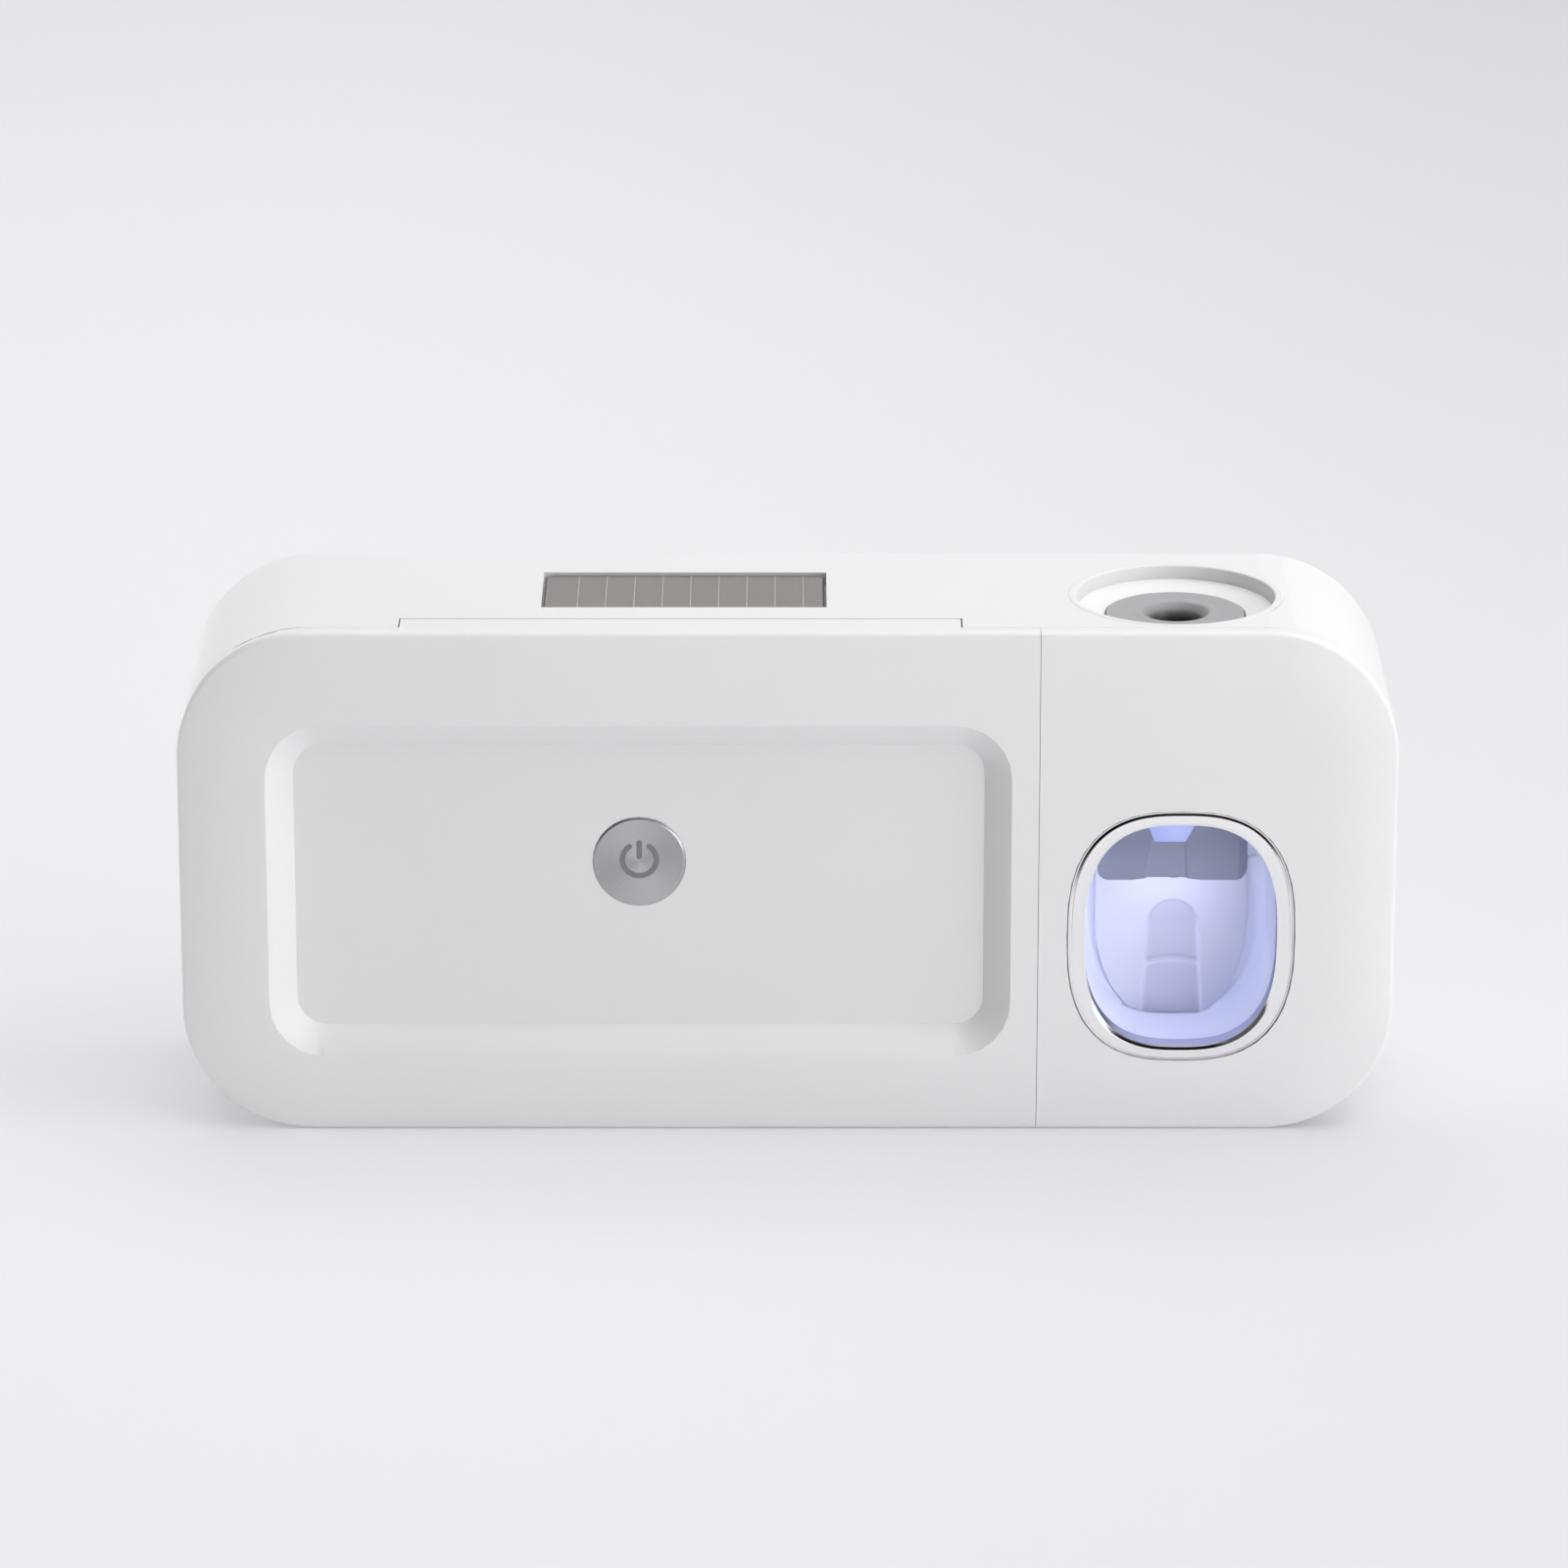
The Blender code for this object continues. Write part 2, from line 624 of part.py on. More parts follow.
def build_housing(white):
    """Shell with top, sides, bottom, front wall and partition, open at the back."""
    housing = prism("main_housing", casing_loop(), HOUSING_FRONT, BODY_DEPTH)
    cut(housing, prism("housing_inside", casing_loop(WALL), HOUSING_FRONT + WALL, BODY_DEPTH + 0.005))

    partition = block("partition", PARTITION_X, PARTITION_X + PARTITION_THICKNESS,
                      HOUSING_FRONT + WALL / 2, COVER_INNER - GAP, WALL / 2, HEIGHT - WALL / 2)
    fuse(housing, partition)
    post_front = HOUSING_FRONT + WALL / 2
    for x, z in inner_post_places():
        fuse(housing, backward("inner_post", x, post_front, z, POST_RADIUS,
                               CHAMBER_DEPTH - GAP - post_front, 12))
    post_start = INNER_REAR + POST_CLEARANCE
    for x, z in back_post_places():
        half, sunk = POST_WEB / 2, WALL / 2
        ends = [x - half, x + half, z - half, z + half]
        if x > HALF - CORNER_RADIUS:
            ends[1] = HALF - sunk
        elif z > HEIGHT / 2:
            ends[3] = HEIGHT - sunk
        else:
            ends[2] = sunk
        fuse(housing, block("post_web", ends[0], ends[1], post_start + 0.001, COVER_INNER - 2 * GAP,
                            ends[2], ends[3]),
             backward("back_post", x, post_start, z, POST_RADIUS, COVER_INNER - GAP - post_start, 12))

    for x0 in (TONGUE_X0 - TONGUE_SIDE_GAP - EAR_WIDTH, TONGUE_X1 + TONGUE_SIDE_GAP):
        fuse(housing, block("hinge_ear", x0, x0 + EAR_WIDTH, HOUSING_FRONT, HINGE_DEPTH + BARREL_RADIUS,
                            HINGE_Z - BARREL_RADIUS, HINGE_Z + WALL / 2))
    fuse(housing, solar_block("solar_boss", SOLAR_RIM, SOLAR_LOW, HINGE_Z + WALL / 2))
    peg_low = CUP_TAB_LOW - GAP - PEG_HEAD
    peg_top = HEIGHT - WALL / 2 - peg_low
    for x, depth in cup_peg_places():
        fuse(housing, turned("cup_peg", [(0, 0), (PEG_RADIUS, 0), (STANDOFF_RADIUS, PEG_HEAD),
                                         (PEG_RADIUS, PEG_HEAD), (PEG_RADIUS, peg_top), (0, peg_top)],
                             (x, deep(depth), peg_low), "Z", 12))
    for side in (-1, 1):
        centre = (SOCKET_X + side * CHARGE_HOLE_OFFSET, deep(charge_depth()), WALL / 2)
        fuse(housing, stake("charge_stake", centre, "Z", charge_board_z() - GAP - WALL / 2,
                            CHARGE_BOARD_THICKNESS))
    side_x = COMB_LAP / 2
    for x in (comb_span()[0] - side_x, comb_span()[1] + side_x):
        sunk = WALL / 4
        fuse(housing, stake("comb_stake", (x, deep(COMB_REAR / 2), WALL / 2), "Z", sunk,
                            COMB_LAP_THICKNESS + WALL / 2 - sunk - GAP))

    cut(housing, prism("door_opening", panel_loop(OPENING_GROWTH), 0.0, HOUSING_FRONT + WALL + 0.001))
    x0, x1 = comb_span()
    cut(housing, block("comb_opening", x0, x1, HOUSING_FRONT - 0.004, COMB_REAR, -0.005, PANEL_BOTTOM_MARGIN))
    pocket = BARREL_RADIUS + GAP
    x0, x1 = TONGUE_X0 - TONGUE_SIDE_GAP, TONGUE_X1 + TONGUE_SIDE_GAP
    cut(housing, block("tongue_pocket", x0, x1, 0.0, HINGE_DEPTH, HINGE_Z - pocket, HEIGHT + 0.002),
        hinge_rod("barrel_pocket", x0, x1, pocket, 32),
        hinge_rod("pin_hole_left", x0 - EAR_WIDTH - 0.002, x0 + 0.001, PIN_RADIUS + GAP, 12),
        hinge_rod("pin_hole_right", x1 - 0.001, x1 + EAR_WIDTH + 0.002, PIN_RADIUS + GAP, 12))
    cut(housing, solar_block("solar_recess", SOLAR_BORDER, SOLAR_LOW + SOLAR_FLOOR, HEIGHT + 0.002))
    cut(housing, collar_seat())
    wall = CAVITY_WALL + GAP
    flange = wall + CAVITY_FLANGE
    cut(housing, prism("flange_seat", window_loop(CAVITY_INNER[0] + flange, CAVITY_INNER[1] + flange),
                       0.0, CAVITY_FRONT + CAVITY_WALL + GAP),
        prism("cavity_hole", window_loop(CAVITY_INNER[0] + wall, CAVITY_INNER[1] + wall), 0.0, 0.010))
    pilot = SCREW_RADIUS + GAP
    for x, z in inner_post_places():
        cut(housing, backward("inner_pilot", x, CHAMBER_DEPTH - SCREW_LENGTH, z, pilot, 0.010))
    for x, z in back_post_places():
        cut(housing, backward("back_pilot", x, COVER_INNER - SCREW_LENGTH, z, pilot, 0.010))
    for x, z in cover_screw_places():
        cut(housing, backward("cover_clearance", x, 0.0, z, SCREW_HOLE, 0.010))
    half_x, half_y = SOCKET_SIZE[0] / 2 + GAP, SOCKET_SIZE[1] / 2 + GAP
    cut(housing, block("socket_hole", SOCKET_X - half_x, SOCKET_X + half_x, charge_depth() - half_y,
                       charge_depth() + half_y, -0.002, WALL + 0.001))
    return finish(housing, white)


def comb_span():
    """Left and right end of the opening that the slot comb fills."""
    places, side = brush_places(), HANDLE_SLOT_WIDTH / 2 + COMB_SIDE
    return places[0] - side, places[-1] + side


def build_slot_comb(white):
    """Insert in the base and lower front with the four handle slots and the magnet cups."""
    x0, x1 = comb_span()
    rear, top = COMB_REAR - GAP, WALL + GAP + COMB_LAP_THICKNESS
    comb = block("slot_comb", x0 + GAP, x1 - GAP, HOUSING_FRONT, rear, 0.0, top)
    fuse(comb, block("comb_wall", x0 + GAP, x1 - GAP, HOUSING_FRONT, HOUSING_FRONT + WALL, WALL / 2,
                     PANEL_BOTTOM_MARGIN - OPENING_GROWTH),
         block("comb_lap", x0 - COMB_LAP, x1 + COMB_LAP, HOUSING_FRONT + WALL + 2 * GAP,
               COMB_REAR + COMB_LAP / 2, WALL + GAP, top))
    for x, z in magnet_places():
        fuse(comb, backward("magnet_cup", x, HOUSING_FRONT + WALL / 2, z,
                            MAGNET_RADIUS + GAP + MAGNET_WALL, MAGNET_CUP, 16))
    slot_round = HANDLE_SLOT_WIDTH / 2
    straight = HANDLE_SLOT_END - slot_round
    for x in brush_places():
        cut(comb, block("handle_slot", x - slot_round, x + slot_round, HOUSING_FRONT - 0.004, straight,
                        -0.005, PANEL_BOTTOM_MARGIN),
            upright("handle_slot_end", x, straight, -0.005, slot_round, 0.007 + top, 20))
    for x, z in magnet_places():
        cut(comb, backward("magnet_seat", x, HOUSING_FRONT + MAGNET_SEAT, z, MAGNET_RADIUS + GAP,
                           0.010, 16))
    for x in (x0 - COMB_LAP / 2, x1 + COMB_LAP / 2):
        cut(comb, upright("comb_hole", x, COMB_REAR / 2, -0.002, PEG_RADIUS + GAP, 0.010))
    return finish(comb, white)


def collar_seat():
    """Round room that the tube collar is let into, cut from the top wall and from the cup."""
    return upright("collar_seat", PUMP_X, FUNNEL_DEPTH, HEIGHT - FUNNEL_CUP_DROP, FUNNEL_RADIUS + GAP,
                   0.02, 40)


def cup_peg_places():
    """Pegs under the top wall that carry the funnel cup by its tabs."""
    reach = FUNNEL_RADIUS + GAP + COLLAR_WALL + CUP_PEG_REACH
    return [(PUMP_X + reach * math.cos(turn), FUNNEL_DEPTH + reach * math.sin(turn))
            for turn in CUP_PEG_TURNS]


def pump_screw_places():
    """X of the two screws that hold the pump block by its ears."""
    return [PUMP_X + side * (BLOCK_WIDTH + BLOCK_EAR) / 2 for side in (-1, 1)]


def charge_depth():
    """Depth of the charging socket, half way between inner panel and back cover."""
    return (INNER_REAR + COVER_INNER) / 2


def charge_board_z():
    return SOCKET_SIZE[2] + GAP + SOCKET_RECESS


def build_back_cover(white):
    """Flat back with two keyholes that hang on wall screws."""
    cover = prism("back_cover", casing_loop(WALL + GAP), COVER_INNER, BODY_DEPTH)
    front = COVER_INNER - KEYHOLE_POCKET
    room = KEYHOLE_CUP - KEYHOLE_CUP_WALL
    top = KEYHOLE_Z + KEYHOLE_LENGTH
    for x in (-KEYHOLE_X, KEYHOLE_X):
        fuse(cover, block("keyhole_cup", x - KEYHOLE_CUP, x + KEYHOLE_CUP, front, COVER_INNER + 0.001,
                          KEYHOLE_Z - KEYHOLE_CUP, top + KEYHOLE_CUP, 0.0006))
        cut(cover, block("keyhole_room", x - room, x + room, front + KEYHOLE_CUP_WALL,
                         COVER_INNER + 0.0002, KEYHOLE_Z - room, top + room),
            backward("keyhole_head", x, COVER_INNER - 0.001, KEYHOLE_Z, KEYHOLE_HEAD, 0.006, 16),
            block("keyhole_slot", x - KEYHOLE_SHANK, x + KEYHOLE_SHANK, COVER_INNER - 0.001,
                  BODY_DEPTH + 0.002, KEYHOLE_Z, top),
            backward("keyhole_shank", x, COVER_INNER - 0.001, top, KEYHOLE_SHANK, 0.006, 12))
    for x, z in back_post_places():
        cut(cover, backward("cover_hole", x, COVER_INNER - 0.002, z, SCREW_HOLE, 0.008),
            backward("cover_sink", x, BODY_DEPTH - SCREW_HEAD_HEIGHT - GAP, z,
                     SCREW_HEAD_RADIUS + GAP, 0.005, 16))
    return finish(cover, white)


def build_inner_panel(white):
    """Back wall of the brush chamber, with standoffs for the board on its far side."""
    edge = WALL + GAP
    panel = prism("inner_panel", casing_loop(edge), CHAMBER_DEPTH, INNER_REAR)
    sunk = INNER_PANEL_THICKNESS / 3
    for x, z in board_stake_places():
        fuse(panel, stake("board_stake", (x, deep(INNER_REAR - sunk), z), "Y", BOARD_STANDOFF + sunk,
                          BOARD_THICKNESS))
    cut(panel, block("panel_right_trim", PARTITION_X - GAP, HALF + 0.01, 0.0, BODY_DEPTH, -0.01,
                     HEIGHT + 0.01),
        solar_block("solar_notch", SOLAR_RIM + GAP, SOLAR_LOW - GAP, HEIGHT + 0.01))
    for x, z in inner_post_places():
        cut(panel, backward("inner_hole", x, CHAMBER_DEPTH - 0.002, z, SCREW_HOLE, 0.008))
    for x in rack_tab_places():
        half = RACK_TAB_WIDTH / 2 + GAP
        cut(panel, block("rack_hole", x - half, x + half, CHAMBER_DEPTH - 0.002, INNER_REAR + 0.002,
                         rack_tab_z() - GAP, rack_tab_z() + RACK_TAB_THICKNESS + GAP))
    return finish(panel, white)


def board_x():
    return PARTITION_X - BOARD_RIGHT_MARGIN - BOARD_SIZE[0] / 2


def board_stake_places():
    dx, dz = BOARD_SIZE[0] / 2 - BOARD_HOLE_INSET, BOARD_SIZE[1] / 2 - BOARD_HOLE_INSET
    return [(board_x() - dx, HEIGHT / 2 - dz), (board_x() + dx, HEIGHT / 2 + dz)]


def rack_tab_places():
    places = brush_places()
    return [(places[0] + places[1]) / 2, (places[-2] + places[-1]) / 2]


def rack_tab_z():
    return RACK_Z + RACK_FLANGE_HEIGHT / 2


def build_brush_rack(white):
    """Comb that the brush necks hang in, with a flange against the inner panel."""
    places = brush_places()
    x0, x1 = places[0] - RACK_SIDE, places[-1] + RACK_SIDE
    back = CHAMBER_DEPTH - GAP
    outline = rounded_loop(x0, x1, RACK_Z, RACK_Z + RACK_FLANGE_HEIGHT, 0.0020, 3)
    middle = back - RACK_FLANGE_THICKNESS / 2
    rack = prism("brush_rack", outline, back - RACK_FLANGE_THICKNESS, back)
    fuse(rack, block("rack_shelf", x0, x1, RACK_FRONT, middle, RACK_Z, RACK_Z + RACK_THICKNESS, 0.0005))
    half = NECK_SLOT_WIDTH / 2
    slot_back = RACK_FRONT + NECK_SLOT_LENGTH - half
    for x in places:
        cut(rack, block("neck_slot", x - half, x + half, RACK_FRONT - 0.002, slot_back,
                        RACK_Z - 0.002, RACK_Z + RACK_THICKNESS + 0.002),
            upright("neck_slot_end", x, slot_back, RACK_Z - 0.002, half, RACK_THICKNESS + 0.004, 16))
    half, hook, low = RACK_TAB_WIDTH / 2, INNER_REAR + GAP, rack_tab_z()
    for x in rack_tab_places():
        fuse(rack, block("rack_tab", x - half, x + half, middle, hook + RACK_TAB_HOOK,
                         low, low + RACK_TAB_THICKNESS),
             block("rack_hook", x - half, x + half, hook, hook + RACK_TAB_HOOK,
                   low, low + RACK_TAB_THICKNESS + RACK_TAB_HOOK))
    return finish(rack, white)


def lamp_depth():
    return CHAMBER_DEPTH - GAP - REFLECTOR_WALL - GAP - LAMP_CAP_SIZE / 2


def build_lamp(glass, rubber, metal):
    """Thin lamp tube in two end caps, before a trough reflector."""
    axis_y = deep(lamp_depth())
    tube = turned("uv_lamp_tube", [(0, 0), (LAMP_RADIUS * 0.6, 0), (LAMP_RADIUS, 0.0010),
                                   (LAMP_RADIUS, LAMP_LENGTH - 0.0010), (LAMP_RADIUS * 0.6, LAMP_LENGTH),
                                   (0, LAMP_LENGTH)], (LAMP_X - LAMP_LENGTH / 2, axis_y, LAMP_Z), "X", 16)
    finish(tube, glass)

    caps = []
    half = LAMP_CAP_SIZE / 2
    for side in (-1, 1):
        outer = LAMP_X + side * (LAMP_LENGTH / 2 + 0.0015)
        inner = outer - side * LAMP_CAP_LENGTH
        cap = block("cap", min(outer, inner), max(outer, inner), lamp_depth() - half,
                    lamp_depth() + half, LAMP_Z - half, LAMP_Z + half, 0.0010)
        socket_end = LAMP_X + side * (LAMP_LENGTH / 2 + GAP)
        start = min(socket_end, inner - side * 0.001)
        cut(cap, rod("cap_bore", (start, axis_y, LAMP_Z), "X", LAMP_RADIUS + GAP,
                     abs(socket_end - inner) + 0.001, 16))
        caps.append(cap)
    first, second = caps
    first.name = "lamp_cap_left"
    second.name = "lamp_cap_right"
    for cap in caps:
        finish(cap, rubber)

    back = CHAMBER_DEPTH - GAP
    half_width = REFLECTOR_WIDTH / 2
    x0 = LAMP_X - LAMP_LENGTH / 2 - REFLECTOR_OVERHANG
    steps = 6
    outline = []
    for level, flip in ((0.0, 1), (-REFLECTOR_WALL, -1)):
        row = []
        for step in range(-steps, steps + 1):
            share = step / steps
            curl = max(0.0, (abs(share) - REFLECTOR_FLAT) / (1 - REFLECTOR_FLAT))
            row.append((x0, deep(back + level - REFLECTOR_RISE * curl ** 1.5), LAMP_Z + half_width * share))
        outline += row[::flip]
    finish(extruded("lamp_reflector", outline, (LAMP_LENGTH + 2 * REFLECTOR_OVERHANG, 0, 0)), metal)


def build_solar_panel(dark):
    top = HEIGHT - SOLAR_SINK
    panel = block("solar_panel", SOLAR_X - SOLAR_WIDTH / 2, SOLAR_X + SOLAR_WIDTH / 2, SOLAR_DEPTH,
                  SOLAR_DEPTH + SOLAR_LENGTH, top - SOLAR_THICKNESS, top, 0.0002)
    return finish(panel, dark)


def build_electronics(green, tin, dark, cell_blue):
    """Main board, cell in its holder, charging board and socket."""
    x, z = board_x(), HEIGHT / 2
    front = INNER_REAR + BOARD_STANDOFF + GAP
    rear = front + BOARD_THICKNESS
    board = block("main_board", x - BOARD_SIZE[0] / 2, x + BOARD_SIZE[0] / 2, front, rear,
                  z - BOARD_SIZE[1] / 2, z + BOARD_SIZE[1] / 2)
    for dx, dz, wide, tall, high in CHIPS:
        fuse(board, block("chip", x + dx - wide / 2, x + dx + wide / 2, rear - 0.0003, rear + high,
                          z + dz - tall / 2, z + dz + tall / 2))
    for hole_x, hole_z in board_stake_places():
        cut(board, backward("board_hole", hole_x, front - 0.002, hole_z, PEG_RADIUS + GAP, 0.008, 12))
    finish(board, green)

    half_x = CELL_LENGTH / 2 + HOLDER_WALL + GAP
    half_z = CELL_RADIUS + HOLDER_WALL + GAP
    holder_x, holder_z = -HALF + CORNER_RADIUS + half_x, HEIGHT / 2
    holder_front = INNER_REAR + GAP
    cell_depth = holder_front + HOLDER_WALL + GAP + CELL_RADIUS
    holder = block("cell_holder", holder_x - half_x, holder_x + half_x, holder_front,
                   cell_depth + CELL_RADIUS * 0.6, holder_z - half_z, holder_z + half_z, 0.0005)
    cut(holder, rod("cell_room", (holder_x - CELL_LENGTH / 2 - GAP, deep(cell_depth), holder_z), "X",
                    CELL_RADIUS + GAP, CELL_LENGTH + 2 * GAP, 20),
        block("cell_mouth", holder_x - CELL_LENGTH / 2 - GAP, holder_x + CELL_LENGTH / 2 + GAP,
              cell_depth, cell_depth + 0.02, holder_z - CELL_RADIUS - GAP, holder_z + CELL_RADIUS + GAP))
    finish(holder, dark)
    edge, stub = 0.0008, 0.0010
    shoulder = CELL_LENGTH - stub
    cell = turned("battery_cell", [(0, 0), (CELL_RADIUS - edge, 0), (CELL_RADIUS, edge),
                                   (CELL_RADIUS, shoulder - edge), (CELL_RADIUS - edge, shoulder),
                                   (CELL_RADIUS * 0.4, shoulder), (CELL_RADIUS * 0.4, CELL_LENGTH),
                                   (0, CELL_LENGTH)],
                  (holder_x - CELL_LENGTH / 2, deep(cell_depth), holder_z), "X", 20)
    finish(cell, cell_blue)

    level, depth = charge_board_z(), charge_depth()
    half_x, half_y = CHARGE_BOARD_SIZE[0] / 2, CHARGE_BOARD_SIZE[1] / 2
    charger = block("charge_board", SOCKET_X - half_x, SOCKET_X + half_x, depth - half_y, depth + half_y,
                    level, level + CHARGE_BOARD_THICKNESS)
    for side in (-1, 1):
        cut(charger, upright("charge_hole", SOCKET_X + side * CHARGE_HOLE_OFFSET, depth, level - 0.002,
                             PEG_RADIUS + GAP, 0.006))
    finish(charger, green)

    socket = socket_form("charging_socket", 0.0, SOCKET_RECESS, SOCKET_SIZE[2])
    cut(socket, socket_form("socket_mouth", SOCKET_WALL, -0.001, SOCKET_SIZE[2]))
    tongue = SOCKET_SIZE[0] * 0.36
    fuse(socket, block("socket_tongue", SOCKET_X - tongue, SOCKET_X + tongue, depth - 0.00035,
                       depth + 0.00035, 3 * SOCKET_RECESS, SOCKET_SIZE[2]))
    finish(socket, tin)


def socket_form(name, inset, low, length):
    """Upright prism with the charging socket's rounded outline, drawn in by inset."""
    wide, thick, _ = SOCKET_SIZE
    loop = rounded_loop(SOCKET_X - wide / 2 + inset, SOCKET_X + wide / 2 - inset,
                        -thick / 2 + inset, thick / 2 - inset, thick * 0.49 - inset, SMALL_STEPS)
    return extruded(name, [(x, deep(charge_depth()) + y, low) for x, y in loop], (0, 0, length))


def build_fasteners(steel):
    """The screws of the inner panel, the back cover and the dispenser cover."""
    sets = (("inner_panel_screw", inner_post_places(), INNER_REAR + GAP),
            ("back_cover_screw", back_post_places(), BODY_DEPTH - SCREW_HEAD_HEIGHT),
            ("dispenser_cover_screw", cover_screw_places(), HOUSING_FRONT + WALL + GAP))
    for name, places, seat in sets:
        for number, (x, z) in enumerate(places, 1):
            screw_at(f"{name}_{number}", steel, x, seat, z)


def build_magnets(group, front, steel):
    """One magnet of a group at each latch place, its face at the given depth."""
    return [finish(backward(f"{group}_magnet_{number}", x, front, z, MAGNET_RADIUS, MAGNET_THICKNESS, 12),
                   steel)
            for number, (x, z) in enumerate(magnet_places(), 1)]


def build_hinge_pins(steel):
    """Two short pins, each half in a housing ear and half in the door's barrel."""
    for name, edge, inward in (("hinge_pin_left", TONGUE_X0, 1), ("hinge_pin_right", TONGUE_X1, -1)):
        outer = edge - inward * (TONGUE_SIDE_GAP + EAR_WIDTH)
        inner = edge + inward * PIN_ENGAGEMENT
        pin = hinge_rod(name, min(outer, inner), max(outer, inner), PIN_RADIUS, 12)
        finish(pin, steel)


def build_dispenser_cover(white):
    """Front of the dispenser side, with the window opening and a collar behind it."""
    cover = front_form("dispenser_cover")
    cut(cover, block("cover_seam", -HALF - 0.01, SEAM_X + GAP / 2, -0.02, 0.02, -0.01, HEIGHT + 0.01))
    hole = (RING_INNER[0] + RING_SKIRT + GAP, RING_INNER[1] + RING_SKIRT + GAP)
    hollow = prism("cover_hollow", right_of(SEAM_X + GAP / 2 + WALL, WALL), HOLLOW_DEPTH, RIM_DEPTH + 0.002)
    cut(hollow, prism("window_collar", window_loop(hole[0] + COLLAR_WALL, hole[1] + COLLAR_WALL),
                      0.0, CAVITY_FRONT - GAP))
    for x, z in cover_screw_places():
        cut(hollow, backward("cover_boss", x, 0.0, z, POST_RADIUS, 0.010, 12))
    cut(cover, hollow, prism("window_hole", window_loop(*hole), -0.010, 0.010),
        prism("window_rebate", window_loop(RING_OUTER[0] + GAP, RING_OUTER[1] + GAP), -0.010,
              -CROWN + RING_FLANGE + GAP))
    for x, z in cover_screw_places():
        cut(cover, backward("cover_pilot", x, 0.0, z, SCREW_RADIUS + GAP, 0.010))
    return finish(cover, white)


def build_trim_ring(chrome):
    """Bright ring: a flat band with rounded edges and a skirt into the cover."""
    def at(share):
        return window_loop(*(inner + (outer - inner) * share
                             for inner, outer in zip(RING_INNER, RING_OUTER)))

    front = -CROWN
    skirt_share = RING_SKIRT / (RING_OUTER[0] - RING_INNER[0])
    sections = [(at(0.0), CAVITY_FRONT - GAP), (at(0.0), front + 0.0006), (at(0.06), front + 0.00025),
                (at(0.18), front + 0.00005), (at(0.30), front), (at(0.76), front),
                (at(0.88), front + 0.00006), (at(0.96), front + 0.00025), (at(1.0), front + 0.0006),
                (at(1.0), front + RING_FLANGE), (at(skirt_share), front + RING_FLANGE),
                (at(skirt_share), CAVITY_FRONT - GAP)]
    return finish(loft("window_trim_ring", sections, closed_round=True), chrome)


def shield_loop(clearance=0.0, drop=0.0):
    """Push plate's outline: straight sides that close in along half an ellipse."""
    top = LEVER_Z + LEVER_BARREL
    curve_z = PLATE_BOTTOM + PLATE_CURVE - PLATE_TRUNCATION
    half_width = PLATE_HALF_WIDTH + clearance
    steps = 12
    last = math.acos(1 - PLATE_TRUNCATION / PLATE_CURVE)
    side = [(half_width, top + clearance)]
    for step in range(steps + 1):
        angle = (math.pi / 2 - last) * step / steps
        side.append((half_width * math.cos(angle), curve_z - (PLATE_CURVE + drop) * math.sin(angle)))
    right = [(PUMP_X + x, z) for x, z in side]
    left = [(PUMP_X - x, z) for x, z in reversed(side)]
    return right + left


def build_cavity_liner(liner):
    """Round-cornered cup behind the window, open to the plate and the pump block."""
    hx, hz = CAVITY_INNER
    back = CAVITY_BACK

    def section(shrink, depth, wall=0.0):
        return window_loop(hx - shrink + wall, hz - shrink + wall), depth

    turn = [(CAVITY_DRAFT + CAVITY_ROUND * (1 - math.cos(math.radians(a))),
             back - CAVITY_ROUND * (1 - math.sin(math.radians(a)))) for a in (0, 30, 60, 90)]
    outside = [section(-CAVITY_FLANGE, CAVITY_FRONT, CAVITY_WALL),
               section(-CAVITY_FLANGE, CAVITY_FRONT + CAVITY_WALL, CAVITY_WALL),
               section(0, CAVITY_FRONT + CAVITY_WALL, CAVITY_WALL)]
    outside += [section(shrink, depth + (CAVITY_WALL if depth == back else 0.0), CAVITY_WALL)
                for shrink, depth in turn]
    cup = loft("cavity_liner", outside)
    inside = [section(0, CAVITY_FRONT - 0.002)] + [section(shrink, depth) for shrink, depth in turn]
    cut(cup, loft("cavity_room", inside))
    ear = LEVER_BARREL + LEVER_EAR
    for side in (-1, 1):
        near = PUMP_X + side * (PLATE_HALF_WIDTH + PLATE_CLEARANCE + 0.0002)
        far = near + side * LEVER_EAR_THICKNESS
        fuse(cup, block("lever_ear", min(near, far), max(near, far), back - CAVITY_WALL / 2,
                        LEVER_DEPTH + ear, LEVER_Z - ear, LEVER_Z + ear, 0.0003))
    half = BLOCK_WIDTH / 2 + GAP
    cut(cup, block("block_room", PUMP_X - half, PUMP_X + half, BLOCK_FRONT - GAP, BLOCK_REAR + GAP,
                   BLOCK_BOTTOM - GAP, HEIGHT),
        block("block_rear_room", PUMP_X - half, PUMP_X + half, BLOCK_REAR, 0.05, BLOCK_STEP - GAP, HEIGHT),
        block("arm_slot", PUMP_X - ARM_HALF_WIDTH - 0.001, PUMP_X + ARM_HALF_WIDTH + 0.001, BLOCK_REAR, 0.05,
              LEVER_Z, BLOCK_STEP + 0.002),
        prism("plate_opening", shield_loop(PLATE_CLEARANCE, 0.0007), PLATE_FRONT - 0.0012, 0.05),
        rod("lever_pin_hole", (PUMP_X - PLATE_HALF_WIDTH - 0.01, deep(LEVER_DEPTH), LEVER_Z), "X",
            PIN_RADIUS + GAP, 2 * PLATE_HALF_WIDTH + 0.02, 12))
    return finish(cup, liner)


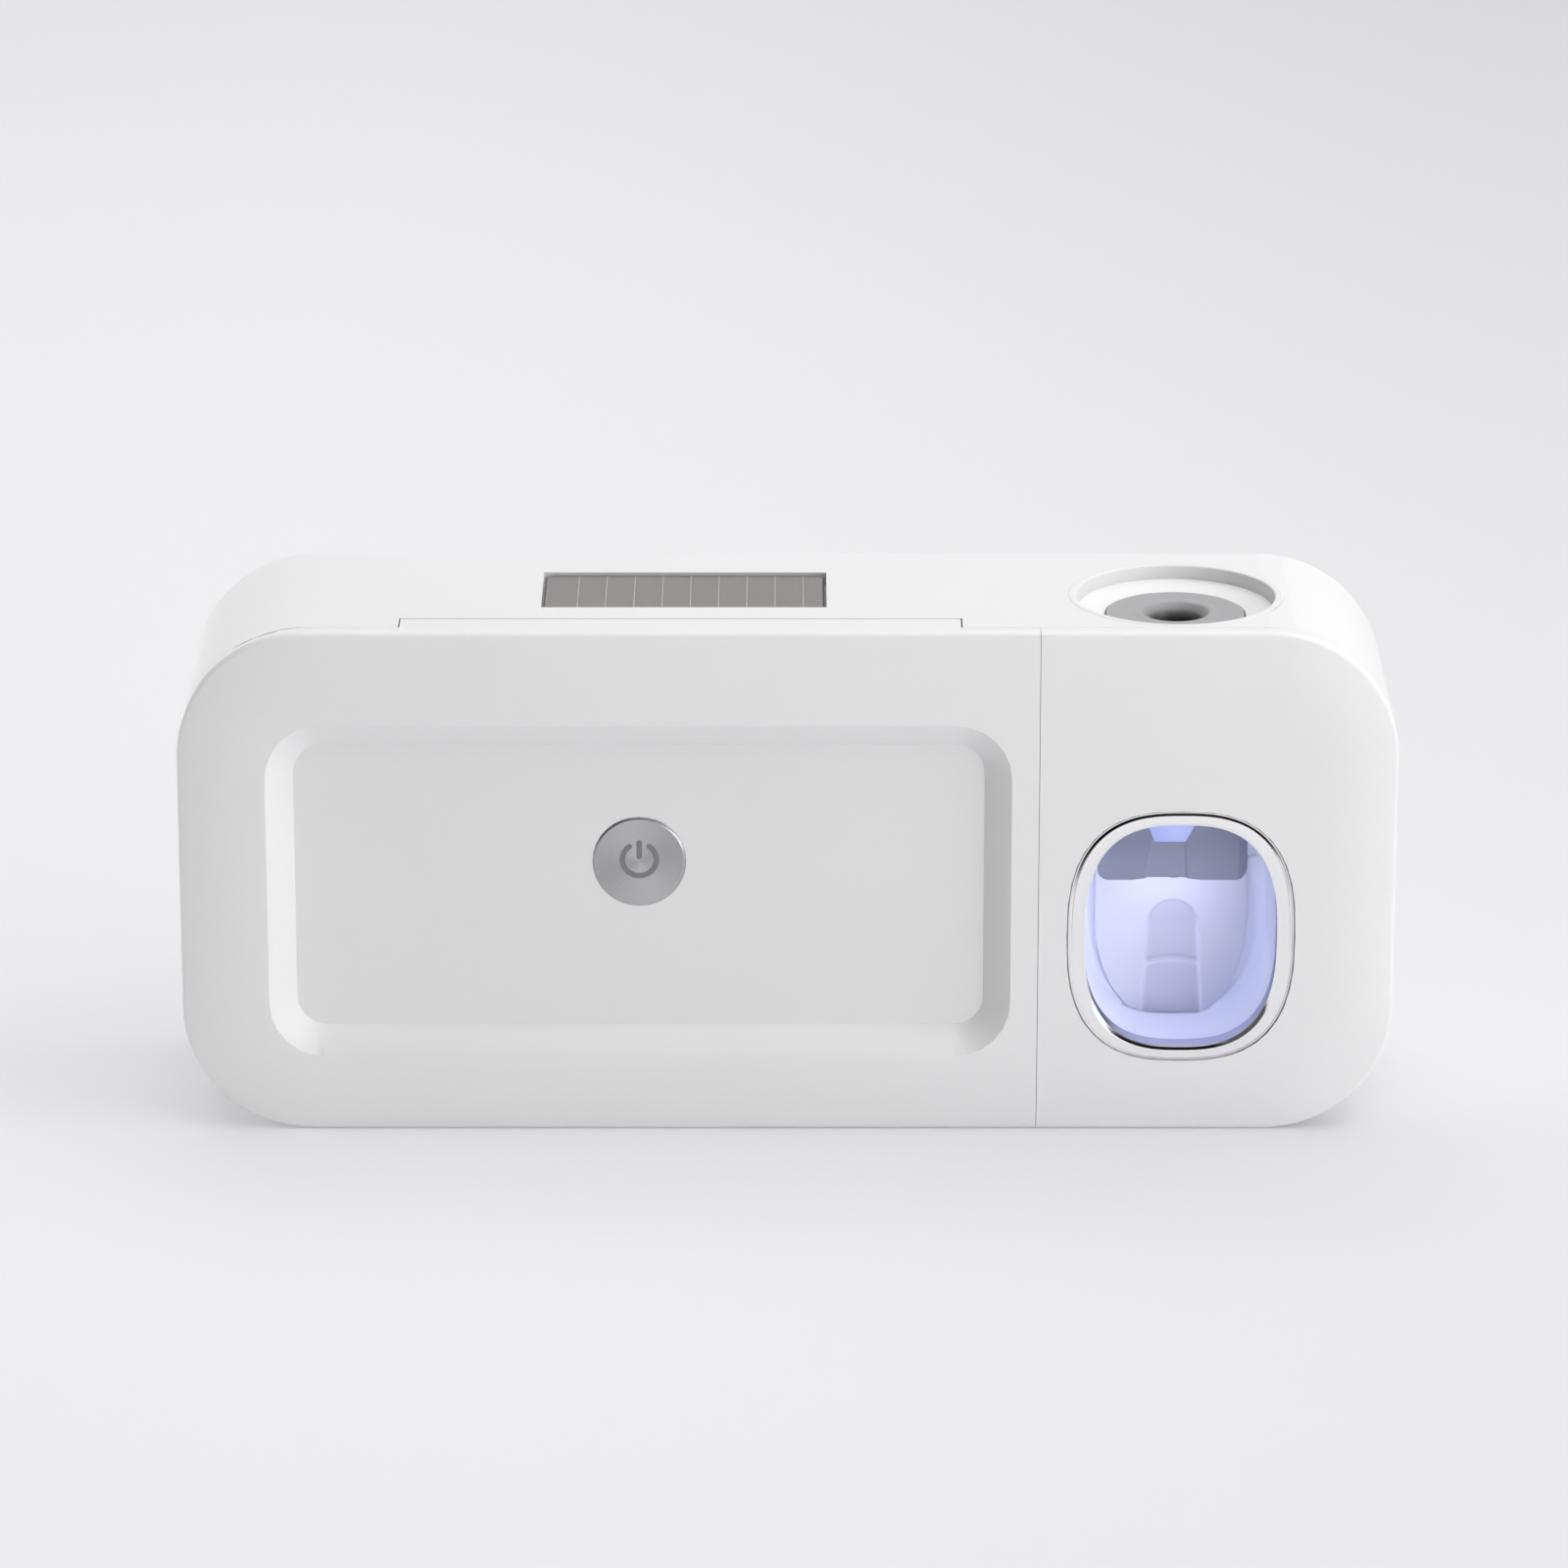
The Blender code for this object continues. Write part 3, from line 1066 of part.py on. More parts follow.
def build_push_plate(white, steel):
    """Shield-shaped plate with a brush groove, hinged on a pin behind the block."""
    plate = prism("push_plate", shield_loop(), PLATE_FRONT, PLATE_FRONT + PLATE_THICKNESS)
    left, right = PUMP_X - PLATE_HALF_WIDTH, PUMP_X + PLATE_HALF_WIDTH
    fuse(plate, rod("lever_barrel", (left, deep(LEVER_DEPTH), LEVER_Z), "X", LEVER_BARREL, right - left, 20))
    fuse(plate, block("lever_arm", PUMP_X - ARM_HALF_WIDTH, PUMP_X + ARM_HALF_WIDTH,
                      LEVER_DEPTH - ARM_AHEAD, LEVER_DEPTH + 0.0010, LEVER_Z, PLUNGER_Z + ARM_RISE))
    arch = GROOVE_HALF_WIDTH
    arch_z = PLATE_BOTTOM + GROOVE_TOP_RISE - arch
    loop = [(PUMP_X + arch + GROOVE_FLARE, PLATE_BOTTOM - 0.002)]
    for step in range(11):
        angle = math.radians(180 * step / 10)
        loop.append((PUMP_X + arch * math.cos(angle), arch_z + arch * math.sin(angle)))
    loop.append((PUMP_X - arch - GROOVE_FLARE, PLATE_BOTTOM - 0.002))
    cut(plate, prism("groove", loop, PLATE_FRONT - 0.002, PLATE_FRONT + GROOVE_LOWER))
    step_z = PLATE_BOTTOM + GROOVE_STEP_RISE
    deeper = [(x, max(z, step_z)) for x, z in loop]
    cut(plate, prism("groove_upper", deeper, PLATE_FRONT - 0.002, PLATE_FRONT + GROOVE_UPPER))
    cut(plate, rod("pin_bore", (left - 0.002, deep(LEVER_DEPTH), LEVER_Z), "X", PIN_RADIUS + GAP,
                   right - left + 0.004, 12))
    finish(plate, white)
    reach = PLATE_CLEARANCE + LEVER_EAR_THICKNESS
    pin = rod("lever_pin", (left - reach, deep(LEVER_DEPTH), LEVER_Z), "X", PIN_RADIUS,
              right - left + 2 * reach, 12)
    finish(pin, steel)
    return plate


def build_pump(grey, silicone, lens_blue, green, steel, white):
    """Pump block with its bores, valves, lamp lens, plunger and spring."""
    half = BLOCK_WIDTH / 2
    x0, x1 = PUMP_X - half, PUMP_X + half
    face = rounded_loop(x0, x1, BLOCK_BOTTOM, BLOCK_TOP, BLOCK_ROUND, SMALL_STEPS)
    pump = prism("pump_block", face, BLOCK_FRONT, BLOCK_REAR)
    fuse(pump, block("upper_block", x0 + BLOCK_SHOULDER, x1 - BLOCK_SHOULDER, BLOCK_REAR - 0.004,
                     BLOCK_UPPER_REAR, BLOCK_STEP, BLOCK_TOP - BLOCK_SHOULDER / 2))
    for x in pump_screw_places():
        fuse(pump, block("block_ear", x - BLOCK_EAR / 2 - 0.001, x + BLOCK_EAR / 2 + 0.001,
                         FUNNEL_DEPTH - 0.0045, FUNNEL_DEPTH + 0.0045, BLOCK_TOP - BLOCK_EAR_THICKNESS,
                         BLOCK_TOP - BLOCK_SHOULDER / 4, BLOCK_SHOULDER))
    facet_low, facet_top = BLOCK_BOTTOM - 0.002, BLOCK_TOP - FACET_TOP_DROP
    sink = [(PUMP_X - FACET_WIDTH / 2, facet_low), (PUMP_X + FACET_WIDTH / 2, facet_low),
            (PUMP_X + FACET_WIDTH / 2, facet_top), (PUMP_X - FACET_WIDTH / 2, facet_top)]
    narrow = [(PUMP_X + (x - PUMP_X) * 0.74, z) for x, z in sink]
    wide = [(PUMP_X + (x - PUMP_X) * 1.2, z) for x, z in sink]
    cut(pump, loft("facet", [(wide, BLOCK_FRONT - FACET_SINK), (sink, BLOCK_FRONT),
                             (narrow, BLOCK_FRONT + FACET_SINK)]))
    lens_low = BLOCK_BOTTOM + LENS_RISE
    lens_top = lens_low + LENS_HEIGHT
    lens_half = LENS_HALF_WIDTHS[1] + GAP
    cut(pump, block("lens_pocket", PUMP_X - lens_half, PUMP_X + lens_half, BLOCK_FRONT - 0.002,
                    BLOCK_FRONT + FACET_SINK + LENS_THICKNESS + LED_BOARD_THICKNESS + 2 * GAP,
                    lens_low - GAP, lens_top + 0.002))
    bore_z = BLOCK_STEP + BORE_RISE
    bore_start = BLOCK_REAR - PLUNGER_TIP - PLATE_SWING * (PLUNGER_Z - LEVER_Z) - 0.0005
    cut(pump, upright("inlet_bore", PUMP_X, FUNNEL_DEPTH, bore_z - INLET_BORE, INLET_BORE, 0.05),
        backward("cross_bore", PUMP_X, NOZZLE_DEPTH, bore_z, CROSS_BORE, FUNNEL_DEPTH - NOZZLE_DEPTH, 12),
        upright("outlet_bore", PUMP_X, NOZZLE_DEPTH, facet_low, OUTLET_BORE, bore_z - facet_low),
        backward("plunger_bore", PUMP_X, bore_start, PLUNGER_Z, PLUNGER_RADIUS + GAP,
                 BLOCK_REAR + 0.002 - bore_start, 20),
        backward("spring_room", PUMP_X, BLOCK_REAR - SPRING_ROOM, PLUNGER_Z, PLUNGER_HEAD_RADIUS + GAP,
                 SPRING_ROOM + 0.005, 20),
        upright("inlet_seat", PUMP_X, FUNNEL_DEPTH, BLOCK_TOP - INLET_SEAT[1], INLET_SEAT[0], 0.01, 16),
        upright("outlet_seat", PUMP_X, NOZZLE_DEPTH, facet_low, OUTLET_SEAT[0],
                BLOCK_BOTTOM - facet_low + OUTLET_SEAT[1], 16))
    for x in pump_screw_places():
        cut(pump, upright("ear_hole", x, FUNNEL_DEPTH, BLOCK_TOP - 0.02, SCREW_HOLE, 0.03))
    finish(pump, grey)

    inlet = turned("inlet_valve", [(0.0012, 0), (0.0048, 0), (0.0048, 0.0021), (0.0030, 0.0021),
                                   (0.0012, 0.0012)],
                   (PUMP_X, FUNNEL_Y, BLOCK_TOP - INLET_SEAT[1] + GAP), "Z", 16)
    finish(inlet, silicone)
    outlet = turned("outlet_valve", [(0.0009, 0.0002), (0.0027, 0), (0.0030, 0.0004), (0.0030, 0.0024),
                                     (0.0015, 0.0024)],
                    (PUMP_X, deep(NOZZLE_DEPTH), BLOCK_BOTTOM + 0.0001), "Z", 16)
    finish(outlet, silicone)

    low, high = LENS_HALF_WIDTHS
    lens_front = BLOCK_FRONT + FACET_SINK
    lens = prism("uv_led_lens", [(PUMP_X - low, lens_low), (PUMP_X + low, lens_low),
                                 (PUMP_X + high, lens_top), (PUMP_X - high, lens_top)],
                 lens_front, lens_front + LENS_THICKNESS)
    finish(lens, lens_blue)
    board_front = lens_front + LENS_THICKNESS + GAP
    finish(block("led_board", PUMP_X - high, PUMP_X + high, board_front, board_front + LED_BOARD_THICKNESS,
                 lens_low, lens_top + 0.001), green)

    for number, x in enumerate(pump_screw_places(), 1):
        screw_at(f"pump_screw_{number}", steel, x, FUNNEL_DEPTH, BLOCK_TOP - BLOCK_EAR_THICKNESS - GAP,
                 "Z", 1)
    return build_plunger(silicone, steel, white)


def build_plunger(silicone, steel, white):
    """Plunger with its sealing ring, and the spring that pushes it and the plate out."""
    end = LEVER_DEPTH - ARM_AHEAD - ARM_PLAY
    tip = BLOCK_REAR - PLUNGER_TIP
    neck = end - PLUNGER_NUB_LENGTH - PLUNGER_HEAD_THICKNESS
    groove, width, sunk = SEAL_GROOVE
    body, head, nub = PLUNGER_RADIUS, PLUNGER_HEAD_RADIUS, PLUNGER_NUB_RADIUS
    plunger = turned("plunger", [(0, 0), (body, 0), (body, groove), (body - sunk, groove),
                                 (body - sunk, groove + width), (body, groove + width), (body, neck - tip),
                                 (head, neck - tip), (head, neck - tip + PLUNGER_HEAD_THICKNESS),
                                 (nub, neck - tip + PLUNGER_HEAD_THICKNESS), (nub, end - tip),
                                 (0, end - tip)], (PUMP_X, deep(tip), PLUNGER_Z), "Y", 16)
    finish(plunger, white)
    thick = GAP
    ring = [(body - thick + thick * math.cos(math.radians(a)), width / 2 + thick * math.sin(math.radians(a)))
            for a in range(0, 360, 60)]
    seal = turned("plunger_seal", ring, (PUMP_X, deep(tip + groove), PLUNGER_Z), "Y", 16)
    finish(seal, silicone)

    points = 12
    start, stop = BLOCK_REAR - SPRING_ROOM + 2 * SPRING_WIRE, neck - 2 * SPRING_WIRE
    curve = bpy.data.curves.new("plunger_spring", "CURVE")
    curve.dimensions = "3D"
    curve.bevel_depth = SPRING_WIRE
    curve.bevel_resolution = 1
    curve.use_fill_caps = True
    spline = curve.splines.new("POLY")
    count = SPRING_TURNS * points
    spline.points.add(count)
    for i in range(count + 1):
        angle = 2 * math.pi * i / points
        depth = start + (stop - start) * i / count
        spline.points[i].co = (PUMP_X + SPRING_COIL * math.cos(angle), deep(depth),
                               PLUNGER_Z + SPRING_COIL * math.sin(angle), 1)
    spring = bpy.data.objects.new("plunger_spring", curve)
    curve.materials.append(steel)
    bpy.context.scene.collection.objects.link(spring)
    return plunger, seal


def build_funnel_cup(white):
    """Cup under the tube hole, held by pegs of the housing; the pump hangs from its posts."""
    top = HEIGHT - WALL - GAP
    cup = upright("funnel_cup", PUMP_X, FUNNEL_DEPTH, CUP_LOW, FUNNEL_RADIUS + GAP + COLLAR_WALL,
                  top + 0.002 - CUP_LOW, 32)
    for x, depth in cup_peg_places():
        fuse(cup, upright("cup_tab", x, depth, CUP_TAB_LOW, CUP_TAB_RADIUS, top + 0.002 - CUP_TAB_LOW, 16))
    for x in pump_screw_places():
        fuse(cup, upright("pump_post", x, FUNNEL_DEPTH, BLOCK_TOP + GAP, POST_RADIUS,
                          CUP_LOW + FUNNEL_CUP_FLOOR / 2 - BLOCK_TOP - GAP))
    combine(cup, prism("cup_bounds", casing_loop(WALL + GAP), HOUSING_FRONT + WALL + GAP,
                       COVER_INNER - GAP), "INTERSECT")
    cut(cup, collar_seat(),
        upright("seal_hole", PUMP_X, FUNNEL_DEPTH, CUP_LOW - 0.002, SEAL_SKIRT + GAP, 0.01, 24))
    for x, depth in cup_peg_places():
        cut(cup, upright("cup_hole", x, depth, CUP_TAB_LOW - 0.002, PEG_RADIUS + GAP, 0.008))
    for x in pump_screw_places():
        cut(cup, upright("pump_pilot", x, FUNNEL_DEPTH, BLOCK_TOP - 0.002, SCREW_RADIUS + GAP,
                         0.002 + GAP + SCREW_LENGTH, 8))
    return finish(cup, white)


def build_funnel(white, silicone):
    """Collar let into the top and the soft funnel that the tube's neck goes into."""
    lip, radius = FUNNEL_LIP, FUNNEL_RADIUS
    floor, low = -FUNNEL_FLOOR_DROP, -FUNNEL_CUP_DROP + GAP
    inner = radius - lip
    collar = turned("tube_collar", [
        (radius, low), (radius, -0.0003), (radius - 0.0003, 0.0), (inner + 0.0003, 0.0), (inner, -0.0003),
        (inner, -0.0021), (inner - 0.0003, -0.0022), (inner - 0.0006, floor + 0.0004),
        (inner - 0.0012, floor), (SEAL_RADIUS + GAP, floor - 0.0003), (SEAL_RADIUS + GAP, low)],
        (PUMP_X, FUNNEL_Y, HEIGHT), "Z", 40)
    finish(collar, white)
    bottom = -(HEIGHT - BLOCK_TOP) + GAP
    seal = turned("funnel_seal", [
        (SEAL_RADIUS, low), (SEAL_RADIUS, floor - 0.0002), (SEAL_RADIUS - 0.0003, floor),
        (SEAL_MOUTH + 0.0012, floor), (SEAL_MOUTH, floor - 0.0004), (SEAL_MOUTH - 0.0016, floor - 0.0030),
        (SEAL_BORE, floor - 0.0090), (SEAL_BORE, bottom), (SEAL_SKIRT - 0.0008, bottom),
        (SEAL_SKIRT, bottom + 0.0060), (SEAL_SKIRT, low)],
        (PUMP_X, FUNNEL_Y, HEIGHT), "Z", 28)
    finish(seal, silicone)


def build_door(white, panel_white, metal, green, steel):
    """Door frame with its hinge tongue, inset panel, inner cover, switch and button."""
    frame = front_form("door_frame")
    cut(frame, block("door_seam", SEAM_X - GAP / 2, HALF + 0.01, -0.02, 0.02, -0.01, HEIGHT + 0.01))
    hollow = prism("door_hollow", left_of(SEAM_X - GAP / 2 - WALL, WALL), HOLLOW_DEPTH, RIM_DEPTH + 0.002)
    cut(hollow, prism("skirt_guard", panel_loop(SKIRT_GROWTH), 0.0, 0.010),
        block("tongue_guard", TONGUE_X0 - WALL, TONGUE_X1 + WALL, 0.0, 0.010, HINGE_Z - BARREL_RADIUS,
              HEIGHT))
    for x, z in magnet_places():
        cut(hollow, backward("magnet_guard", x, 0.0, z, MAGNET_RADIUS + GAP + MAGNET_WALL, 0.010, 16))
    cut(frame, hollow)
    fuse(frame, prism("door_skirt", panel_loop(SKIRT_GROWTH), RIM_DEPTH - 0.001, SKIRT_DEPTH),
         block("tongue", TONGUE_X0, TONGUE_X1, RIM_DEPTH - 0.001, HINGE_DEPTH, HINGE_Z - BARREL_RADIUS,
               HEIGHT),
         hinge_rod("barrel", TONGUE_X0, TONGUE_X1, BARREL_RADIUS, 32))
    cut(frame, block("top_trim", -HALF, HALF, 0.0, 0.03, HEIGHT, HEIGHT + 0.01))
    past = 0.002
    panel_rear = PANEL_FACE + PANEL_THICKNESS
    ledge_rear = panel_rear + GAP + LEDGE_THICKNESS
    cut(frame, loft("bevel", [(panel_loop(BEVEL_WIDTH * (1 + past / PANEL_SETBACK)), -CROWN - past),
                              (panel_loop(0.0), PANEL_FACE), (panel_loop(0.0), panel_rear + GAP)]),
        prism("ledge_hole", panel_loop(-LEDGE_WIDTH), PANEL_FACE, SKIRT_DEPTH),
        prism("cover_pocket", panel_loop(COVER_OVERLAP + GAP), ledge_rear, SKIRT_DEPTH + past))
    reach = math.hypot(HINGE_DEPTH - HOUSING_FRONT, HINGE_DROP) + HINGE_CLEARANCE
    cut(frame, hinge_rod("relief_left", -HALF - 0.01, TONGUE_X0 - TONGUE_SIDE_GAP / 2, reach, 32),
        hinge_rod("relief_right", TONGUE_X1 + TONGUE_SIDE_GAP / 2, SEAM_X + 0.01, reach, 32))
    for edge, inward in ((TONGUE_X0, 1), (TONGUE_X1, -1)):
        far = edge + inward * (PIN_ENGAGEMENT + GAP)
        near = edge - inward * 0.002
        cut(frame, hinge_rod("barrel_bore", min(near, far), max(near, far), PIN_RADIUS + GAP, 12))
    for x, z in magnet_places():
        cut(frame, backward("door_magnet_seat", x, RIM_DEPTH - MAGNET_THICKNESS - 2 * GAP, z,
                            MAGNET_RADIUS + GAP, 0.010, 16))
    finish(frame, white)

    panel = prism("door_panel", panel_loop(-PANEL_SEAM), PANEL_FACE, panel_rear)
    sunk = PANEL_THICKNESS / 3
    for x, z in door_screw_places():
        fuse(panel, backward("panel_boss", x, panel_rear - sunk, z, PANEL_BOSS_RADIUS,
                             PANEL_BOSS_HEIGHT + sunk, 12))
    for x, z in door_screw_places():
        cut(panel, backward("panel_pilot", x, panel_rear, z, SCREW_RADIUS + GAP, 0.010))
    cut(panel, backward("button_hole", PANEL_X, PANEL_FACE - past, BUTTON_Z, BUTTON_RADIUS + GAP, 0.008, 32))
    finish(panel, panel_white)

    cover_front = SKIRT_DEPTH - DOOR_COVER_THICKNESS
    cover = prism("door_inner_cover", panel_loop(COVER_OVERLAP), ledge_rear + GAP, SKIRT_DEPTH)
    cut(cover, prism("inner_cover_room", panel_loop(COVER_OVERLAP - DOOR_COVER_THICKNESS), 0.0, cover_front))
    post_front = panel_rear + PANEL_BOSS_HEIGHT + GAP
    for x, z in door_screw_places():
        fuse(cover, backward("cover_post", x, post_front, z, POST_RADIUS,
                             cover_front + sunk - post_front, 12))
    for x, z in door_screw_places():
        cut(cover, backward("door_screw_hole", x, 0.0, z, SCREW_HOLE, 0.03),
            backward("door_screw_sink", x, SKIRT_DEPTH - SCREW_HEAD_HEIGHT - GAP, z,
                     SCREW_HEAD_RADIUS + GAP, 0.01, 12))
    finish(cover, white)
    screws = [screw_at(f"door_cover_screw_{number}", steel, x, SKIRT_DEPTH - SCREW_HEAD_HEIGHT, z)
              for number, (x, z) in enumerate(door_screw_places(), 1)]
    magnets = build_magnets("door", RIM_DEPTH - MAGNET_THICKNESS - GAP, steel)

    cap_front = PANEL_FACE - BUTTON_PROUD
    brim = panel_rear + GAP - cap_front
    length = brim + BUTTON_FLANGE_THICKNESS
    edge = 0.0002
    button = turned("power_button", [
        (0, 0), (BUTTON_RADIUS - edge, 0), (BUTTON_RADIUS, edge), (BUTTON_RADIUS, brim),
        (BUTTON_RADIUS + BUTTON_FLANGE, brim), (BUTTON_RADIUS + BUTTON_FLANGE, length),
        (BUTTON_STEM_RADIUS, length), (BUTTON_STEM_RADIUS, length + BUTTON_STEM_LENGTH),
        (0, length + BUTTON_STEM_LENGTH)], (PANEL_X, deep(cap_front), BUTTON_Z), "Y", 32)
    finish(button, metal)

    key = cap_front + length + BUTTON_STEM_LENGTH + BUTTON_TRAVEL + SWITCH_PLAY
    wide, tall, thick = SWITCH_BOARD_SIZE
    half = SWITCH_SIZE / 2
    board_front = cover_front - GAP - thick
    board = block("switch_board", PANEL_X - wide / 2, PANEL_X + wide / 2, board_front, cover_front - GAP,
                  BUTTON_Z - tall / 2, BUTTON_Z + tall / 2)
    fuse(board, block("switch_body", PANEL_X - half, PANEL_X + half, key + SWITCH_KEY[1] / 2,
                      board_front + thick / 3, BUTTON_Z - half, BUTTON_Z + half),
         backward("switch_key", PANEL_X, key, BUTTON_Z, *SWITCH_KEY, 16))
    finish(board, green)
    return [frame, panel, cover, board, *screws, *magnets], button


def main():
    clear_scene()
    white = material("casing_white", (0.88, 0.88, 0.89), 0.42)
    panel_white = material("panel_white", (0.84, 0.84, 0.85), 0.38)
    liner_white = material("liner_white", (0.86, 0.87, 0.95), 0.30)
    grey = material("pump_grey", (0.20, 0.21, 0.27), 0.35)
    silicone = material("silicone_grey", (0.28, 0.28, 0.29), 0.60)
    chrome = material("chrome", (0.85, 0.85, 0.87), 0.08, 1.0)
    metal = material("button_metal", (0.52, 0.52, 0.54), 0.28, 1.0)
    steel = material("steel", (0.55, 0.55, 0.57), 0.35, 1.0)
    aluminium = material("reflector_aluminium", (0.80, 0.80, 0.82), 0.22, 1.0)
    dark = material("solar_cell", (0.17, 0.14, 0.13), 0.25)
    black = material("holder_black", (0.04, 0.04, 0.045), 0.50)
    green = material("board_green", (0.04, 0.20, 0.09), 0.45)
    blue = material("cell_sleeve", (0.10, 0.25, 0.55), 0.40)
    lens = material("lens_blue", (0.55, 0.65, 1.00), 0.15)
    glass = material("lamp_glass", (0.80, 0.85, 1.00), 0.05)

    build_housing(white)
    build_slot_comb(white)
    build_back_cover(white)
    build_inner_panel(white)
    build_brush_rack(white)
    build_lamp(glass, silicone, aluminium)
    build_solar_panel(dark)
    build_electronics(green, steel, black, blue)
    build_fasteners(steel)
    build_magnets("housing", HOUSING_FRONT + MAGNET_SEAT + GAP, steel)
    build_hinge_pins(steel)
    build_dispenser_cover(white)
    build_trim_ring(chrome)
    build_cavity_liner(liner_white)
    plate = build_push_plate(white, steel)
    plunger, plunger_ring = build_pump(grey, silicone, lens, green, steel, white)
    build_funnel_cup(white)
    build_funnel(white, silicone)
    door_pieces, button = build_door(white, panel_white, metal, green, steel)

    hinge = carrier("door_hinge", Vector((PANEL_X, deep(HINGE_DEPTH), HINGE_Z)))
    lever = carrier("lever_pivot", Vector((PUMP_X, deep(LEVER_DEPTH), LEVER_Z)))
    press = carrier("button_slide", Vector((PANEL_X, deep(PANEL_FACE), BUTTON_Z)))
    stroke = carrier("plunger_slide", Vector((PUMP_X, deep(BLOCK_REAR), PLUNGER_Z)))
    for piece in door_pieces:
        hang(piece, hinge)
    hang(plate, lever)
    hang(button, press)
    for piece in (plunger, plunger_ring):
        hang(piece, stroke)
    hang(press, hinge)


main()
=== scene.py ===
import json
import math

import bmesh
import bpy
import numpy as np
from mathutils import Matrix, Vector
from mathutils.kdtree import KDTree

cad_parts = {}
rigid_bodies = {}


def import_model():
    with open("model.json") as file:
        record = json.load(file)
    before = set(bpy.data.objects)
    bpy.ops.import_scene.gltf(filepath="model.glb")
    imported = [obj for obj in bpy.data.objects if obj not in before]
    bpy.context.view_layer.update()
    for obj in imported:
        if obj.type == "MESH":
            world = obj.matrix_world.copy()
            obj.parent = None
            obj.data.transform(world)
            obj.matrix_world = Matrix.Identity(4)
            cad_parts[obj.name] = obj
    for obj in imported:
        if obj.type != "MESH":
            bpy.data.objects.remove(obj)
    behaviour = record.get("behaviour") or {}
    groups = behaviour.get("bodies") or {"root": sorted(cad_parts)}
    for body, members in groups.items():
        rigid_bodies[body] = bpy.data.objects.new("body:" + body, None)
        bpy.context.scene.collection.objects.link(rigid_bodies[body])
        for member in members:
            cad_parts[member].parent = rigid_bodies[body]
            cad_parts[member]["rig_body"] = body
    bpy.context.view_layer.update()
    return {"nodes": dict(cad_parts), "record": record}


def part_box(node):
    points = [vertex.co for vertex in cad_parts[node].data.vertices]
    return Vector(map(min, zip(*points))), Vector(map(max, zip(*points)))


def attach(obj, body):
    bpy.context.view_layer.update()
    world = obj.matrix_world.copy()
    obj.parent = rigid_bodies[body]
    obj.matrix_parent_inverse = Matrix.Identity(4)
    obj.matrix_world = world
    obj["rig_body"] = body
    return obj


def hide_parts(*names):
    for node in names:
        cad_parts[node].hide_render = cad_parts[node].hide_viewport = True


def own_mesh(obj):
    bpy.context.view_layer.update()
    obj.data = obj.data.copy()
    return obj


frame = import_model()
nodes = frame["nodes"]
print("frame loaded:", len(nodes), "nodes")


# a dictionary whose values are also read as s.name
class Settings(dict):
    __getattr__ = dict.__getitem__


# points closer than this are one, in metres: on a made piece and on a copied solid
mergeWithin = Settings(made=2e-7, solid=2e-6)


# quads of a grid: point (i, j) joins (i, j+1), (i+1, j+1), (i+1, j), round where it wraps
def gridFaces(rows, cols, wrapRows=False, wrapCols=True):
    i = np.arange(rows if wrapRows else rows - 1)[:, None]
    j = np.arange(cols if wrapCols else cols - 1)[None, :]
    below, beside = (i + 1) % rows, (j + 1) % cols
    corners = np.broadcast_arrays(i * cols + j, i * cols + beside,
                                  below * cols + beside, below * cols + j)
    return np.stack(corners, -1).reshape(-1, 4)


# mesh from parts of points, quads and caps, with doubles merged and faces turned outwards
def meshOf(name, parts, sharpDegrees=32):
    points, faces, start = [], [], 0
    for grid, quads, caps in parts:
        flat = np.asarray(grid, float).reshape(-1, 3)
        points.append(flat)
        faces += (quads + start).tolist() + [[int(k) + start for k in cap] for cap in caps]
        start += len(flat)
    mesh = bpy.data.meshes.new(name)
    mesh.from_pydata(np.concatenate(points).tolist(), [], faces)
    work = bmesh.new()
    work.from_mesh(mesh)
    bmesh.ops.remove_doubles(work, verts=work.verts[:], dist=mergeWithin.made)
    bmesh.ops.dissolve_degenerate(work, edges=work.edges[:], dist=mergeWithin.made)
    bmesh.ops.recalc_face_normals(work, faces=work.faces[:])
    work.to_mesh(mesh)
    work.free()
    mesh.shade_smooth()
    mesh.set_sharp_from_angle(angle=math.radians(sharpDegrees))
    piece = bpy.data.objects.new(name, mesh)
    bpy.context.scene.collection.objects.link(piece)
    return piece


# part from a grid closed round its columns, with a cap on its first and last row if asked
def tubePart(grid, wrapRows=False, capEnds=False):
    rows, cols = grid.shape[:2]
    caps = [np.arange(cols)[::-1], np.arange(cols) + (rows - 1) * cols] if capEnds else []
    return grid, gridFaces(rows, cols, wrapRows), caps


# path through corners (u, v, radius), each corner an arc of that radius,
# which takes at most sideShare of the sides that meet there
def filletPath(corners, closed=False, steps=5, sideShare=0.49):
    spots = np.array([c[:2] for c in corners], float)
    count, path = len(corners), []
    for k, radius in enumerate(c[2] for c in corners):
        if radius <= 0 or (not closed and k in (0, count - 1)):
            path.append(spots[k][None])
            continue
        toward = [spots[k - 1] - spots[k], spots[(k + 1) % count] - spots[k]]
        lengths = [np.linalg.norm(side) for side in toward]
        units = [side / length for side, length in zip(toward, lengths)]
        half = math.acos(np.clip(units[0] @ units[1], -1, 1)) / 2
        reach = min(radius / math.tan(half), *(sideShare * length for length in lengths))
        bisector = (units[0] + units[1]) / np.linalg.norm(units[0] + units[1])
        middle = spots[k] + bisector * reach * math.tan(half) / math.sin(half)
        first, last = (spots[k] + unit * reach - middle for unit in units)
        turn = math.pi - 2 * half
        share = np.linspace(0, 1, steps + 1)[:, None]
        arc = (np.sin((1 - share) * turn) * first + np.sin(share * turn) * last) / math.sin(turn)
        path.append(middle + arc)
    return np.concatenate(path)


